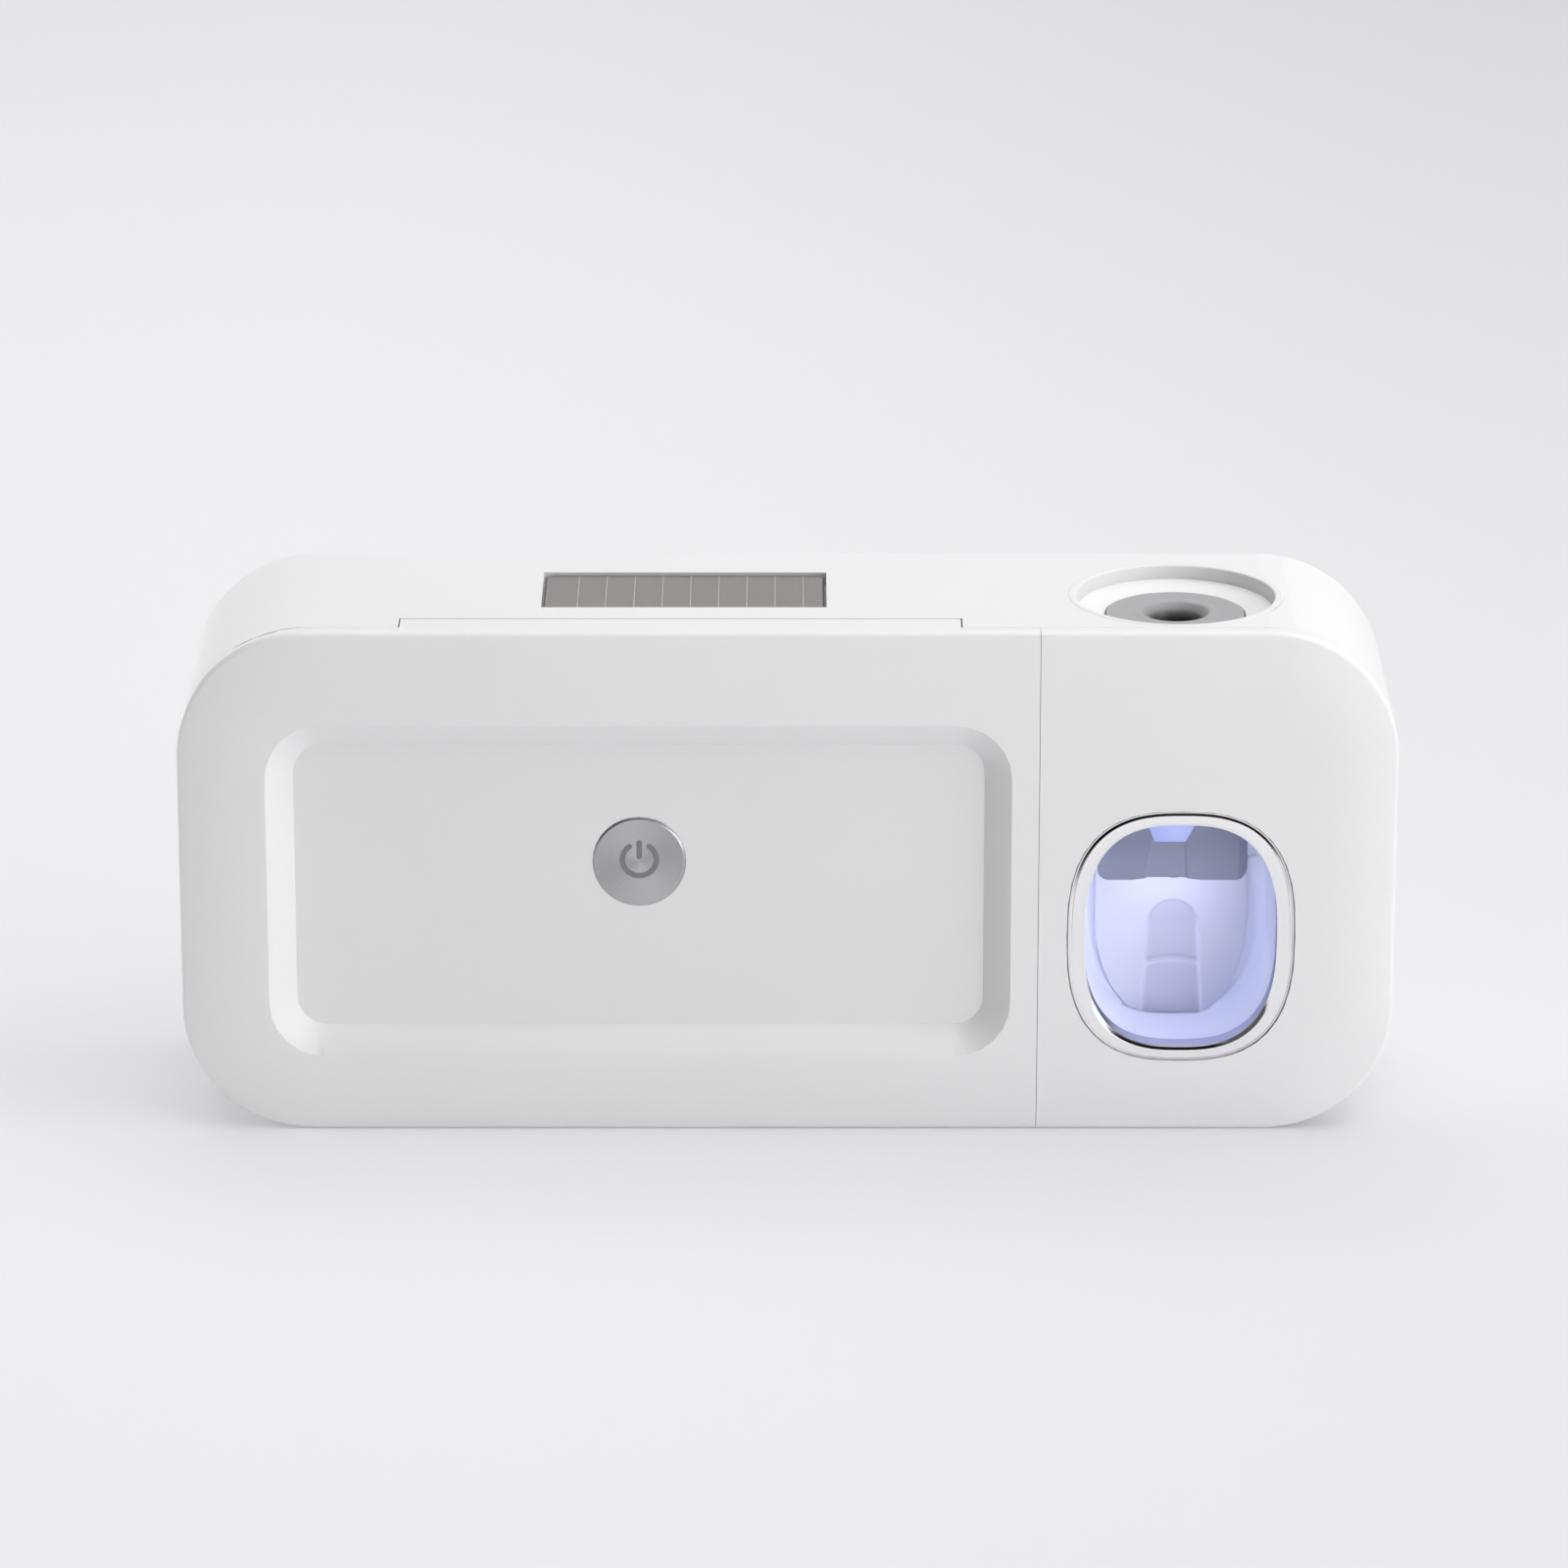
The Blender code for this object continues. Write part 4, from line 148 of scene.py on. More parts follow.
# turns a (radius, height) path about an upright axis: x = r cos t, y = r sin t, z = h
def lathe(path, steps):
    turn = np.linspace(0, 2 * np.pi, steps, endpoint=False)
    radius, height = path[:, :1], path[:, 1:]
    grid = np.broadcast_arrays(radius * np.cos(turn), radius * np.sin(turn), height + 0 * turn)
    return np.stack(grid, -1)


# lays a lathe's grid on another axis: its height z becomes y, or x
def turnTo(grid, axis):
    x, y, z = grid[..., 0], grid[..., 1], grid[..., 2]
    return {"y": np.stack([x, z, y], -1), "x": np.stack([z, x, y], -1)}[axis]


# closed slab: an outline of (x, z) points repeated at each depth y
def slab(outline, depths):
    rows = [np.stack([outline[:, 0], np.full(len(outline), depth), outline[:, 1]], -1)
            for depth in depths]
    return tubePart(np.stack(rows), capEnds=True)


# box between two corners: a square at the lower and the upper z
def boxPart(low, high):
    (x0, y0, z0), (x1, y1, z1) = low, high
    square = np.array([(x0, y0), (x1, y0), (x1, y1), (x0, y1)])
    rows = np.stack([np.concatenate([square, np.full((4, 1), z)], 1) for z in (z0, z1)])
    return tubePart(rows, capEnds=True)


# outline of (x, z) points and its mirror image about x = middle, as one way round
def mirrored(side, middle):
    return np.concatenate([side, side[::-1] * [-1, 1] + [2 * middle, 0]])


# share s of the way from low to high, eased as s s (3 - 2 s)
def smoothRamp(value, low, high):
    share = np.clip((value - low) / (high - low), 0, 1)
    return share * share * (3 - 2 * share)


# bell of the given width about zero: e^(-(v / w)^2)
def bell(value, width):
    return np.exp(-(value / width) ** 2)


def between(value, span):
    return (value > span[0]) & (value < span[1])


# a socket that takes part in Python sums: each operator adds one Math node
class Value:
    def __init__(self, recipe, socket):
        self.recipe, self.socket = recipe, socket

    def maths(self, operation, *others):
        sockets = dict(enumerate((self,) + others))
        return self.recipe.node("ShaderNodeMath", {"operation": operation}, sockets)

    def flipped(self, operation, other):
        return self.recipe.node("ShaderNodeMath", {"operation": operation}, {0: other, 1: self})

    def __add__(self, other):
        return self.maths("ADD", other)

    def __sub__(self, other):
        return self.maths("SUBTRACT", other)

    def __mul__(self, other):
        return self.maths("MULTIPLY", other)

    def __truediv__(self, other):
        return self.maths("DIVIDE", other)

    def __pow__(self, other):
        return self.maths("POWER", other)

    def __gt__(self, other):
        return self.maths("GREATER_THAN", other)

    def __rsub__(self, other):
        return self.flipped("SUBTRACT", other)

    def __rtruediv__(self, other):
        return self.flipped("DIVIDE", other)

    __radd__, __rmul__ = __add__, __mul__

    def __abs__(self):
        return self.maths("ABSOLUTE")


# one material: node() adds any node, put() feeds the sockets of its Principled shader
class Recipe:
    def __init__(self, name, **settings):
        self.material = bpy.data.materials.new(name)
        self.material.use_nodes = True
        self.tree = self.material.node_tree
        self.shader = self.tree.nodes["Principled BSDF"]
        self.put(**settings)

    def node(self, kind, settings=None, sockets=None, output=0):
        made = self.tree.nodes.new(kind)
        for key, value in (settings or {}).items():
            setattr(made, key, value)
        for key, value in (sockets or {}).items():
            self.feed(made.inputs[key], value)
        return Value(self, made.outputs[output])

    def feed(self, socket, value):
        if isinstance(value, Value):
            self.tree.links.new(value.socket, socket)
        elif socket.type == "RGBA":
            socket.default_value = (*value, 1.0)
        else:
            socket.default_value = value

    def put(self, **settings):
        for key, value in settings.items():
            self.feed(self.shader.inputs[key.replace("_", " ")], value)

    def place(self, scale=(1, 1, 1), location=(0, 0, 0)):
        where = self.node("ShaderNodeTexCoord", output="Object")
        return self.node("ShaderNodeMapping", {},
                         {"Vector": where, "Scale": scale, "Location": location})

    def axes(self, centre=(0, 0, 0)):
        where = self.place(location=tuple(-c for c in centre))
        split = self.node("ShaderNodeSeparateXYZ", {}, {0: where})
        return [Value(self, split.socket.node.outputs[axis]) for axis in "XYZ"]

    def noise(self, scale, detail=3.0, where=None):
        return self.node("ShaderNodeTexNoise", {},
                         {"Vector": where or self.place(), "Scale": scale, "Detail": detail})

    def blend(self, share, first, second):  # a Mix node's colours are sockets 6, 7 and output 2
        return self.node("ShaderNodeMix", {"data_type": "RGBA"}, {0: share, 6: first, 7: second}, 2)

    def tinted(self, share, tint, swing):  # the tint, darker to lighter by swing
        return self.blend(share, shade(tint, -swing), shade(tint, swing))

    def bump(self, height, distance, strength):
        bumped = self.node("ShaderNodeBump", {},
                           {"Height": height, "Distance": distance, "Strength": strength})
        self.put(Normal=bumped)

    def smoothStep(self, value, low, high):
        return self.node("ShaderNodeMapRange", {"interpolation_type": "SMOOTHSTEP"},
                         {"Value": value, "From Min": low, "From Max": high})

    # share of painted light and shade that the mesh keeps in its shade attribute
    def paintedLightShare(self):  # the mesh's own "shade" share, the attribute's third output
        return self.node("ShaderNodeAttribute", {"attribute_name": "shade"}, output=2)


# tint times 1 + change, kept from 0 to 1
def shade(tint, change):
    return tuple(min(1.0, max(0.0, c * (1 + change))) for c in tint)


# what all the moulded plastics share
moulding = Settings(
    ior=1.46, coatRoughness=0.08, cloudScale=38.0, cloud=0.012, grainSwing=0.10, cloudSwing=0.05,
    bumpStrength=0.5)
# tint, roughness, scale and depth of the grain, and coat
plasticFinishes = Settings(
    casingWhite=[(0.83, 0.828, 0.832), 0.44, 5200.0, 0.00002],
    # the collar's white is the casing's made a little darker, a painted shade for its brightly lit
    # well
    collarWhite=[(0.82, 0.818, 0.822), 0.44, 5200.0, 0.00002],
    panelWhite=[(0.812, 0.808, 0.812), 0.40, 4200.0, 0.00001],
    pumpGrey=[(0.36, 0.38, 0.50), 0.30, 3600.0, 0.00001, 0.3],
    holderBlack=[(0.03, 0.03, 0.032), 0.5, 3600.0, 0.00002],
    symbolGrey=[(0.205, 0.205, 0.21), 0.42, 4000.0, 0.00001])


# moulded plastic: a faint cloudy tone, with a fine eroded grain in the bump and roughness
def mouldedPlastic(name, tint, roughness, grain, grainDepth, coat=0.0):
    s = moulding
    recipe = Recipe(name, IOR=s.ior, Coat_Weight=coat, Coat_Roughness=s.coatRoughness)
    tone, speck = recipe.noise(s.cloudScale), recipe.noise(grain)
    recipe.put(Base_Color=recipe.tinted(tone, tint, s.cloud),
               Roughness=(roughness + s.grainSwing * (speck - 0.5)
                          + s.cloudSwing * (tone - 0.5)))
    recipe.bump(speck, grainDepth, s.bumpStrength)
    return recipe.material


brushing = Settings(
    stretch=(40, 900, 900), dark=-0.12, light=0.10, swing=0.16, depth=0.00002, bumpStrength=0.3)
# tint and roughness
metalFinishes = Settings(
    screwSteel=[(0.55, 0.55, 0.57), 0.34], reflectorFoil=[(0.82, 0.82, 0.84), 0.2],
    fingerSilver=[(0.62, 0.61, 0.6), 0.4])


# bare metal: fine scratches along x, a little uneven in tone
def plainMetal(name, tint, roughness):
    s = brushing
    recipe = Recipe(name, Metallic=1.0)
    streak = recipe.noise(1.0, where=recipe.place(s.stretch))
    recipe.put(Base_Color=recipe.blend(streak, shade(tint, s.dark), shade(tint, s.light)),
               Roughness=roughness + s.swing * (streak - 0.5))
    recipe.bump(streak, s.depth, s.bumpStrength)
    return recipe.material


plastics = {name: mouldedPlastic(name, *finish) for name, finish in plasticFinishes.items()}
metals = {name: plainMetal(name, *finish) for name, finish in metalFinishes.items()}
print("plastics and metals mixed")

# glossy plastics of the window
gloss = Settings(
    roughness=0.28, ior=1.47, toneScale=60.0, grain=2600.0, grainDetail=2.0, grainDepth=0.00001,
    bumpStrength=0.4)


# starts a glossy plastic with its fine grain and gives its recipe
def glossyPlastic(name, glow):
    recipe = Recipe(name, Roughness=gloss.roughness, IOR=gloss.ior, Emission_Strength=glow)
    grain = recipe.noise(gloss.grain, gloss.grainDetail)
    recipe.bump(grain, gloss.grainDepth, gloss.bumpStrength)
    return recipe


# the liner's painted glow, which stands for light of the diode that the walls pass on, a painted
# shade at its right end, and the apron's stronger painted glow
linerPaintedGlow = Settings(
    tint=(0.80, 0.82, 0.93), mottle=0.015, glow=(0.63, 0.67, 0.97), strength=0.175,
    lamp=(0.0785, -0.008, 0.050), near=0.004, reach=0.075, fade=-0.55, rightEnd=(0.0190, 0.0208),
    endShare=0.5, endFade=-0.80)
apronPaintedFinish = Settings(linerPaintedGlow, glow=(0.60, 0.63, 0.88), strength=0.5, reach=0.090)


# white liner: the painted glow fades with distance from the lamp, and a painted shade darkens the
# tint at the right end
def litLiner(name, s):
    recipe = glossyPlastic(name, s.strength)
    x, y, z = recipe.axes(s.lamp)
    far = (x * x + y * y + z * z) ** 0.5
    tone = recipe.noise(gloss.toneScale)
    # painted shade at the right end, then a painted glow that fades away from the lamp
    rightEnd = recipe.smoothStep(x, *s.rightEnd) * s.endShare
    plain = recipe.tinted(tone, s.tint, s.mottle)
    fading = recipe.smoothStep(far, s.near, s.reach)
    recipe.put(Base_Color=recipe.blend(rightEnd, plain, shade(s.tint, s.endFade)),
               Emission_Color=recipe.blend(fading, s.glow, shade(s.glow, s.fade)))
    return recipe.material


# plate and block: painted light and shade from the dim to the pale tint by the mesh's own shade
# share, and the plate's painted glow
paintedLightFinishes = Settings(
    plateWhite=Settings(dim=(0.47, 0.475, 0.57), pale=(0.83, 0.835, 0.90), glow=0.10),
    blockGrey=Settings(dim=(0.205, 0.22, 0.29), pale=(0.42, 0.455, 0.68), glow=0.0))
paintedLightLook = Settings(toneShare=0.04, dimGlow=(0.18, 0.19, 0.32), paleGlow=(0.66, 0.70, 1.0))


# plastic with painted light and shade from the mesh's shade share: painted highlights on rims and
# painted shade in grooves, plus a faint mottle; its emission is a painted glow by the same share
def paintedLightPlastic(name, dim, pale, glow):
    recipe = glossyPlastic(name, glow)
    tone = recipe.noise(gloss.toneScale)
    share = recipe.paintedLightShare()
    mottled = share * (1 - paintedLightLook.toneShare) + tone * paintedLightLook.toneShare
    recipe.put(Base_Color=recipe.blend(mottled, dim, pale),
               Emission_Color=recipe.blend(share, paintedLightLook.dimGlow, paintedLightLook.paleGlow))
    return recipe.material


linerWhite = litLiner("linerWhite", linerPaintedGlow)
apronPaintedGlow = litLiner("apronPaintedGlow", apronPaintedFinish)
plateWhite, blockGrey = (paintedLightPlastic(name, **s) for name, s in paintedLightFinishes.items())

chrome = Settings(
    specular=(0.12, 0.12, 0.12), haze=420.0, detail=4.0, hazeShare=0.3, lift=(0.045, 0.068),
    dull=(0.90, 0.895, 0.915), bright=(1.0, 0.995, 1.0), within=(-0.0277, -0.0273),
    inside=(0.84, 0.87, 1.0), smoke=(0.012, 0.011, 0.013), roughness=0.09, hazeSwing=0.04,
    smokeRough=0.25, insideRough=0.35, depth=0.000005, bumpStrength=0.2)


# satin chrome with a soft haze, a painted highlight that lightens it upwards, painted dark
# reflections and shade by the mesh's shade share, and duller and bluer inside the ring as a painted
# reflection of the lit liner
def ringChrome(name, s):
    recipe = Recipe(name, Metallic=1.0, Specular_Tint=s.specular)
    haze = recipe.noise(s.haze, s.detail)
    paintedDark = recipe.paintedLightShare()
    y, z = recipe.axes()[1:]
    # painted highlight: lighter towards the top
    lift = recipe.smoothStep(z, *s.lift)
    within = recipe.smoothStep(y, *s.within)
    tone = recipe.blend(haze * s.hazeShare + lift * (1 - s.hazeShare), s.dull, s.bright)
    # painted reflection of the lit liner: bluer behind the front
    tone = recipe.blend(within, tone, s.inside)
    # painted dark reflections and shade from the mesh's share
    recipe.put(Base_Color=recipe.blend(paintedDark, tone, s.smoke),
               Roughness=(s.roughness + s.hazeSwing * (haze - 0.5)
                          + paintedDark * s.smokeRough + within * s.insideRough))
    recipe.bump(haze, s.depth, s.bumpStrength)
    return recipe.material


spinning = Settings(
    tint=(0.46, 0.455, 0.465), grooves=9000.0, detail=3.0, phase=0.6, sheenShare=0.55,
    contrast=0.22, roughness=0.30, swing=0.14, depth=0.00002, bumpStrength=0.35)


# spun metal: grooves are a noise of the radius, and a painted highlight of the spinning in the
# colour is a twofold swing about the centre
def spunMetal(name, centre, s):
    recipe = Recipe(name, Metallic=1.0)
    x, _, z = recipe.axes(centre)
    radius = (x * x + z * z) ** 0.5
    grooves = recipe.node("ShaderNodeTexNoise", {"noise_dimensions": "1D"},
                          {"W": radius * s.grooves, "Scale": 1.0, "Detail": s.detail})
    # painted highlight: a twofold swing about the centre
    paintedSheen = 0.5 + 0.5 * (x.maths("ARCTAN2", z) * 2.0 + s.phase).maths("COSINE")
    share = paintedSheen * s.sheenShare + grooves * (1 - s.sheenShare)
    recipe.put(Base_Color=recipe.tinted(share, s.tint, s.contrast),
               Roughness=s.roughness + s.swing * (grooves - 0.5))
    recipe.bump(grooves, s.depth, s.bumpStrength)
    return recipe.material


cellLook = Settings(
    roughness=0.20, resin=0.6, resinRoughness=0.05, cloud=160.0, stretch=(1.0, 3.0, 1.0),
    swellShare=0.3, dark=(0.113, 0.087, 0.084), light=(0.155, 0.126, 0.120))


# solar cells: a dark sheen, lighter at each cell's middle, under a clear resin
def solarFace(name, left, pitch, s):
    recipe = Recipe(name, Roughness=s.roughness, Coat_Weight=s.resin,
                    Coat_Roughness=s.resinRoughness)
    x = recipe.axes()[0]
    swell = 1.0 - abs(((x - left) / pitch).maths("FRACT") - 0.5) * 2.0
    cloud = recipe.noise(s.cloud, where=recipe.place(s.stretch))
    share = swell * s.swellShare + cloud * (1 - s.swellShare)
    recipe.put(Base_Color=recipe.blend(share, s.dark, s.light))
    return recipe.material


silicone = Settings(
    tint=(0.385, 0.375, 0.385), ior=1.41, bloom=900.0, rimHeight=0.10195, reach=0.0030, mottle=0.03,
    deep=-0.95, roughness=0.40, swing=0.12, depth=0.00002, bumpStrength=0.4)


# soft silicone: matt grey with a painted shade that darkens down the bore, as height falls from the
# funnel's rim
def softSilicone(name, s):
    recipe = Recipe(name, IOR=s.ior)
    z = recipe.axes()[2]
    bloom = recipe.noise(s.bloom)
    # painted shade down the bore
    dark = recipe.smoothStep(s.rimHeight - z, 0.0, s.reach)
    plain = recipe.tinted(bloom, s.tint, s.mottle)
    recipe.put(Base_Color=recipe.blend(dark, plain, shade(s.tint, s.deep)),
               Roughness=s.roughness + s.swing * (bloom - 0.5))
    recipe.bump(bloom, s.depth, s.bumpStrength)
    return recipe.material


board = Settings(
    roughness=0.4, lacquer=0.3, tracks=(820.0, 940.0), trackAbove=0.55, trackShare=0.5, cloud=300.0,
    detail=2.0, dark=(0.03, 0.16, 0.07), light=(0.05, 0.22, 0.10), track=(0.12, 0.32, 0.14))


# green board: tracks lie where sin(a x) sin(b z) is high
def circuitBoard(name, s):
    recipe = Recipe(name, Roughness=s.roughness, Coat_Weight=s.lacquer)
    x, _, z = recipe.axes()
    waves = (x * s.tracks[0]).maths("SINE") * (z * s.tracks[1]).maths("SINE")
    track = waves > s.trackAbove
    green = recipe.blend(recipe.noise(s.cloud, s.detail), s.dark, s.light)
    recipe.put(Base_Color=recipe.blend(track * s.trackShare, green, s.track))
    return recipe.material


sleeve = Settings(
    tint=(0.07, 0.2, 0.48), roughness=0.32, coat=0.4, wrinkle=220.0, stretch=(0.4, 1.0, 1.0),
    contrast=0.08, depth=0.00006, bumpStrength=0.4)


# shrunk film of the cell, wrinkled along its length
def sleeveFilm(name, s):
    recipe = Recipe(name, Roughness=s.roughness, Coat_Weight=s.coat)
    wrinkle = recipe.noise(s.wrinkle, where=recipe.place(s.stretch))
    recipe.put(Base_Color=recipe.tinted(wrinkle, s.tint, s.contrast))
    recipe.bump(wrinkle, s.depth, s.bumpStrength)
    return recipe.material


tubeGlass = Settings(
    roughness=0.04, ior=1.46, transmission=0.9, alpha=0.45, film=500.0, detail=2.0,
    cool=(0.82, 0.86, 1.0), pale=(0.90, 0.92, 1.0))


# glass of the lamp tube, with a faint cloudy film
def lampGlass(name, s):
    recipe = Recipe(name, Roughness=s.roughness, IOR=s.ior,
                    Transmission_Weight=s.transmission, Alpha=s.alpha)
    film = recipe.noise(s.film, s.detail)
    recipe.put(Base_Color=recipe.blend(film, s.cool, s.pale))
    return recipe.material


lensGlow = Settings(
    roughness=0.12, strength=1.0, centre=(0.0785, 0, 0.0628), reach=0.0055, body=(0.05, 0.06, 0.10),
    core=(0.42, 0.47, 0.86), rim=(0.33, 0.39, 0.80))


# lens lit from behind, brighter at its middle
def glowingLens(name, s):
    recipe = Recipe(name, Roughness=s.roughness, Emission_Strength=s.strength,
                    Base_Color=s.body)
    x, _, z = recipe.axes(s.centre)
    outward = recipe.smoothStep((x * x + z * z) ** 0.5, 0.0, s.reach)
    recipe.put(Emission_Color=recipe.blend(outward, s.core, s.rim))
    return recipe.material


siliconeGrey = softSilicone("siliconeGrey", silicone)
chromeRing = ringChrome("chromeRing", chrome)
boardGreen = circuitBoard("boardGreen", board)
sleeveBlue = sleeveFilm("sleeveBlue", sleeve)
glassClear = lampGlass("glassClear", tubeGlass)
lensBlue = glowingLens("lensBlue", lensGlow)
print("special finishes mixed")

# the casing's corner arcs: their centres, the least radius, and which edges are cut finer
arcs = Settings(
    across=0.0965, low=0.026, high=0.0798, middle=0.05, least=0.0215, longest=0.009,
    bend=(0.03, 0.4), cuts=3, slack=1e-5, under=0.001, gain=1e-7,
    nodes=("main_housing", "door_frame", "dispenser_cover", "back_cover"))


# cuts the arcs finer: a new point on an edge takes the mean radius of that edge's ends
def roundArcs(work, s):
    def radial(vert):
        x, z = vert.co.x, vert.co.z
        past = abs(x) > s.across - s.slack
        if not past or s.low + s.slack <= z <= s.high - s.slack:
            return Vector((0, 0))
        centre = s.high if z > s.middle else s.low
        return Vector((x - math.copysign(s.across, x), z - centre))

    keep = work.verts.layers.float.new("arcRadius")
    for vert in work.verts:
        vert[keep] = radial(vert).length
    edges = []
    for edge in work.edges:
        ends = [radial(vert) for vert in edge.verts]
        if edge.calc_length() < s.longest and min(end.length for end in ends) > s.least:
            if s.bend[0] < ends[0].angle(ends[1]) < s.bend[1]:
                edges.append(edge)
    bmesh.ops.subdivide_edges(work, edges=edges, cuts=s.cuts, use_grid_fill=True)
    for vert in work.verts:
        out = radial(vert)
        if out.length > s.least - s.under and vert[keep] > out.length + s.gain:
            grow = vert[keep] / out.length - 1
            vert.co.x, vert.co.z = vert.co.x + out.x * grow, vert.co.z + out.y * grow
    work.verts.layers.float.remove(keep)


def dress(piece, material):
    piece.data.materials.clear()
    piece.data.materials.append(material)


# puts a piece on its body with its finish, and hides the nodes that it stands for
def seat(piece, body, slotName, material, *replaced):
    dress(piece, material)
    if replaced:
        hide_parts(*replaced)
    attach(piece, body)
    return piece


# angles in degrees: faces within flat of each other become one, edges past sharp stay edges
skinAngles = Settings(flat=0.4, sharp=34)


# copy of a CAD node with its loose triangles merged, round faces smoothed, flat ones kept flat
def smoothCopy(name):
    source = nodes[name]
    piece = bpy.data.objects.new(name + "Skin", source.data.copy())
    bpy.context.scene.collection.objects.link(piece)
    work = bmesh.new()
    work.from_mesh(piece.data)
    bmesh.ops.remove_doubles(work, verts=work.verts[:], dist=mergeWithin.solid)
    bmesh.ops.dissolve_limit(work, angle_limit=math.radians(skinAngles.flat),
                             verts=work.verts[:], edges=work.edges[:])
    if name in arcs.nodes:
        roundArcs(work, arcs)
    work.to_mesh(piece.data)
    work.free()
    piece.data.shade_smooth()
    piece.data.set_sharp_from_angle(angle=math.radians(skinAngles.sharp))
    weigh = piece.modifiers.new("flatFacesStayFlat", "WEIGHTED_NORMAL")
    weigh.keep_sharp = True
    return seat(piece, source["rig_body"], slotOf[name], slotFinish[slotOf[name]], name)


slotOf = {row["node"]: row["material_slot"] for row in frame["record"]["subparts"]}
slotFinish = Settings(
    casing_white=plastics["casingWhite"], panel_white=plastics["panelWhite"],
    liner_white=linerWhite, pump_grey=plastics["pumpGrey"], silicone=siliconeGrey,
    chrome=chromeRing, button_metal=metals["screwSteel"], steel=metals["screwSteel"],
    reflector=metals["reflectorFoil"], solar_cell=plastics["holderBlack"],
    holder_black=plastics["holderBlack"], board_green=boardGreen, cell_sleeve=sleeveBlue,
    lens=lensBlue, lamp_glass=glassClear)
for name, node in nodes.items():
    dress(node, slotFinish[slotOf[name]])

roundNodes = [
    "main_housing", "slot_comb", "funnel_cup", "back_cover", "inner_panel", "brush_rack",
    "dispenser_cover", "door_frame", "door_panel", "door_inner_cover", "cavity_liner",
    "pump_block", "lamp_cap_left", "lamp_cap_right", "lamp_reflector", "uv_lamp_tube",
    "battery_cell", "cell_holder", "charging_socket", "inlet_valve", "outlet_valve", "plunger",
    "plunger_seal", "hinge_pin_left", "hinge_pin_right", "lever_pin", "housing_magnet_1",
    "housing_magnet_2", "door_magnet_1", "door_magnet_2",
]
skins = {name: smoothCopy(name) for name in roundNodes}
print("solids dressed:", len(roundNodes), "smoothed")


# points of a skin as an array of rows x, y, z
def pointsOf(skin):
    places = np.empty(len(skin.data.vertices) * 3)
    skin.data.vertices.foreach_get("co", places)
    return places.reshape(-1, 3)


# moves the points of a skin that a test picks, as whole arrays
def nudge(skin, pick, shift):
    places = pointsOf(skin)
    chosen = pick(places)
    places[chosen] = shift(places[chosen])
    skin.data.vertices.foreach_set("co", places.ravel())
    skin.data.update()


# keeps one share of painted light and shade from 0 to 1 for each point, for the material to read
def storePaintedLight(skin, share):
    stored = skin.data.attributes.new("shade", "FLOAT", "POINT")
    stored.data.foreach_set("value", share.astype(np.float32))


# window ring; its profile's corners are share across the band, depth behind the front, fillet
windowRing = Settings(
    centre=(0.0793, 0.0421), outer=(0.02288, 0.02653), inner=(0.01940, 0.02365), front=-0.0281,
    power=2.7, points=200,
    profile=[
        (0.0, 0.0048, 0), (0.0, 0.00042, 0), (0.06, 0.00032, 0), (0.20, 0.00003, 0.02),
        (0.24, 0, 0), (0.27, 0, 0), (0.71, 0, 0), (0.74, 0, 0), (0.78, 0.00003, 0.02),
        (0.895, 0.00032, 0), (0.91, 0.00032, 0), (0.945, 0.00032, 0), (0.96, 0.00032, 0),
        (1.0, 0.00034, 0), (1.0, 0.0009, 0), (0.44, 0.0009, 0), (0.44, 0.0048, 0)])
# painted dark reflections and shade on the ring: spans of the share across, and spans of the unit
# curve's side and height
ringPaintedDark = Settings(
    outer=(0.765, 0.90), outerUp=(0.25, 0.80), inner=(0.055, 0.215), innerDown=(0.70, 0.90),
    innerLean=0.25, innerSide=(0, 0.9), rimFrom=0.95, rimDark=0.60, line=(0.735, 0.765),
    lineUp=(-0.3, 0.2), lineDark=0.40, skirtTo=0.01, skirtDark=0.60, footFrom=(0.35, 0.55),
    footTo=(0.78, 0.90), footSide=(0.25, 0.45))


# superellipse of half widths 1: x = |cos t|^(2/n) sign(cos t), z = |sin t|^(2/n) sign(sin t)
def superellipse(power, count):
    turn = np.linspace(0, 2 * np.pi, count, endpoint=False)
    cos, sin = np.cos(turn), np.sin(turn)
    return np.stack([np.sign(cos) * np.abs(cos) ** (2 / power),
                     np.sign(sin) * np.abs(sin) ** (2 / power)], -1)


# painted darkness over the band from 0 to 1: dark reflections on both bevels, a line and the
# skirt's foot, and painted shade in the gap at the rim
def paintedDarkOf(share, side, up, s):
    outer = between(share, s.outer) * smoothRamp(up, *s.outerUp)
    lean = s.innerLean * smoothRamp(side, *s.innerSide)
    inner = between(share, s.inner) * smoothRamp(-up - lean, *s.innerDown)
    line = between(share, s.line) * smoothRamp(up, *s.lineUp)
    foot = smoothRamp(-up, *s.footFrom) * (1 - smoothRamp(-up, *s.footTo))
    foot = foot * smoothRamp(-side, *s.footSide)
    edge = s.rimDark * (share > s.rimFrom) + s.lineDark * line
    edge = edge + s.skirtDark * (share < s.skirtTo) * foot
    return np.clip(np.maximum(outer, inner) + edge, 0, 1)


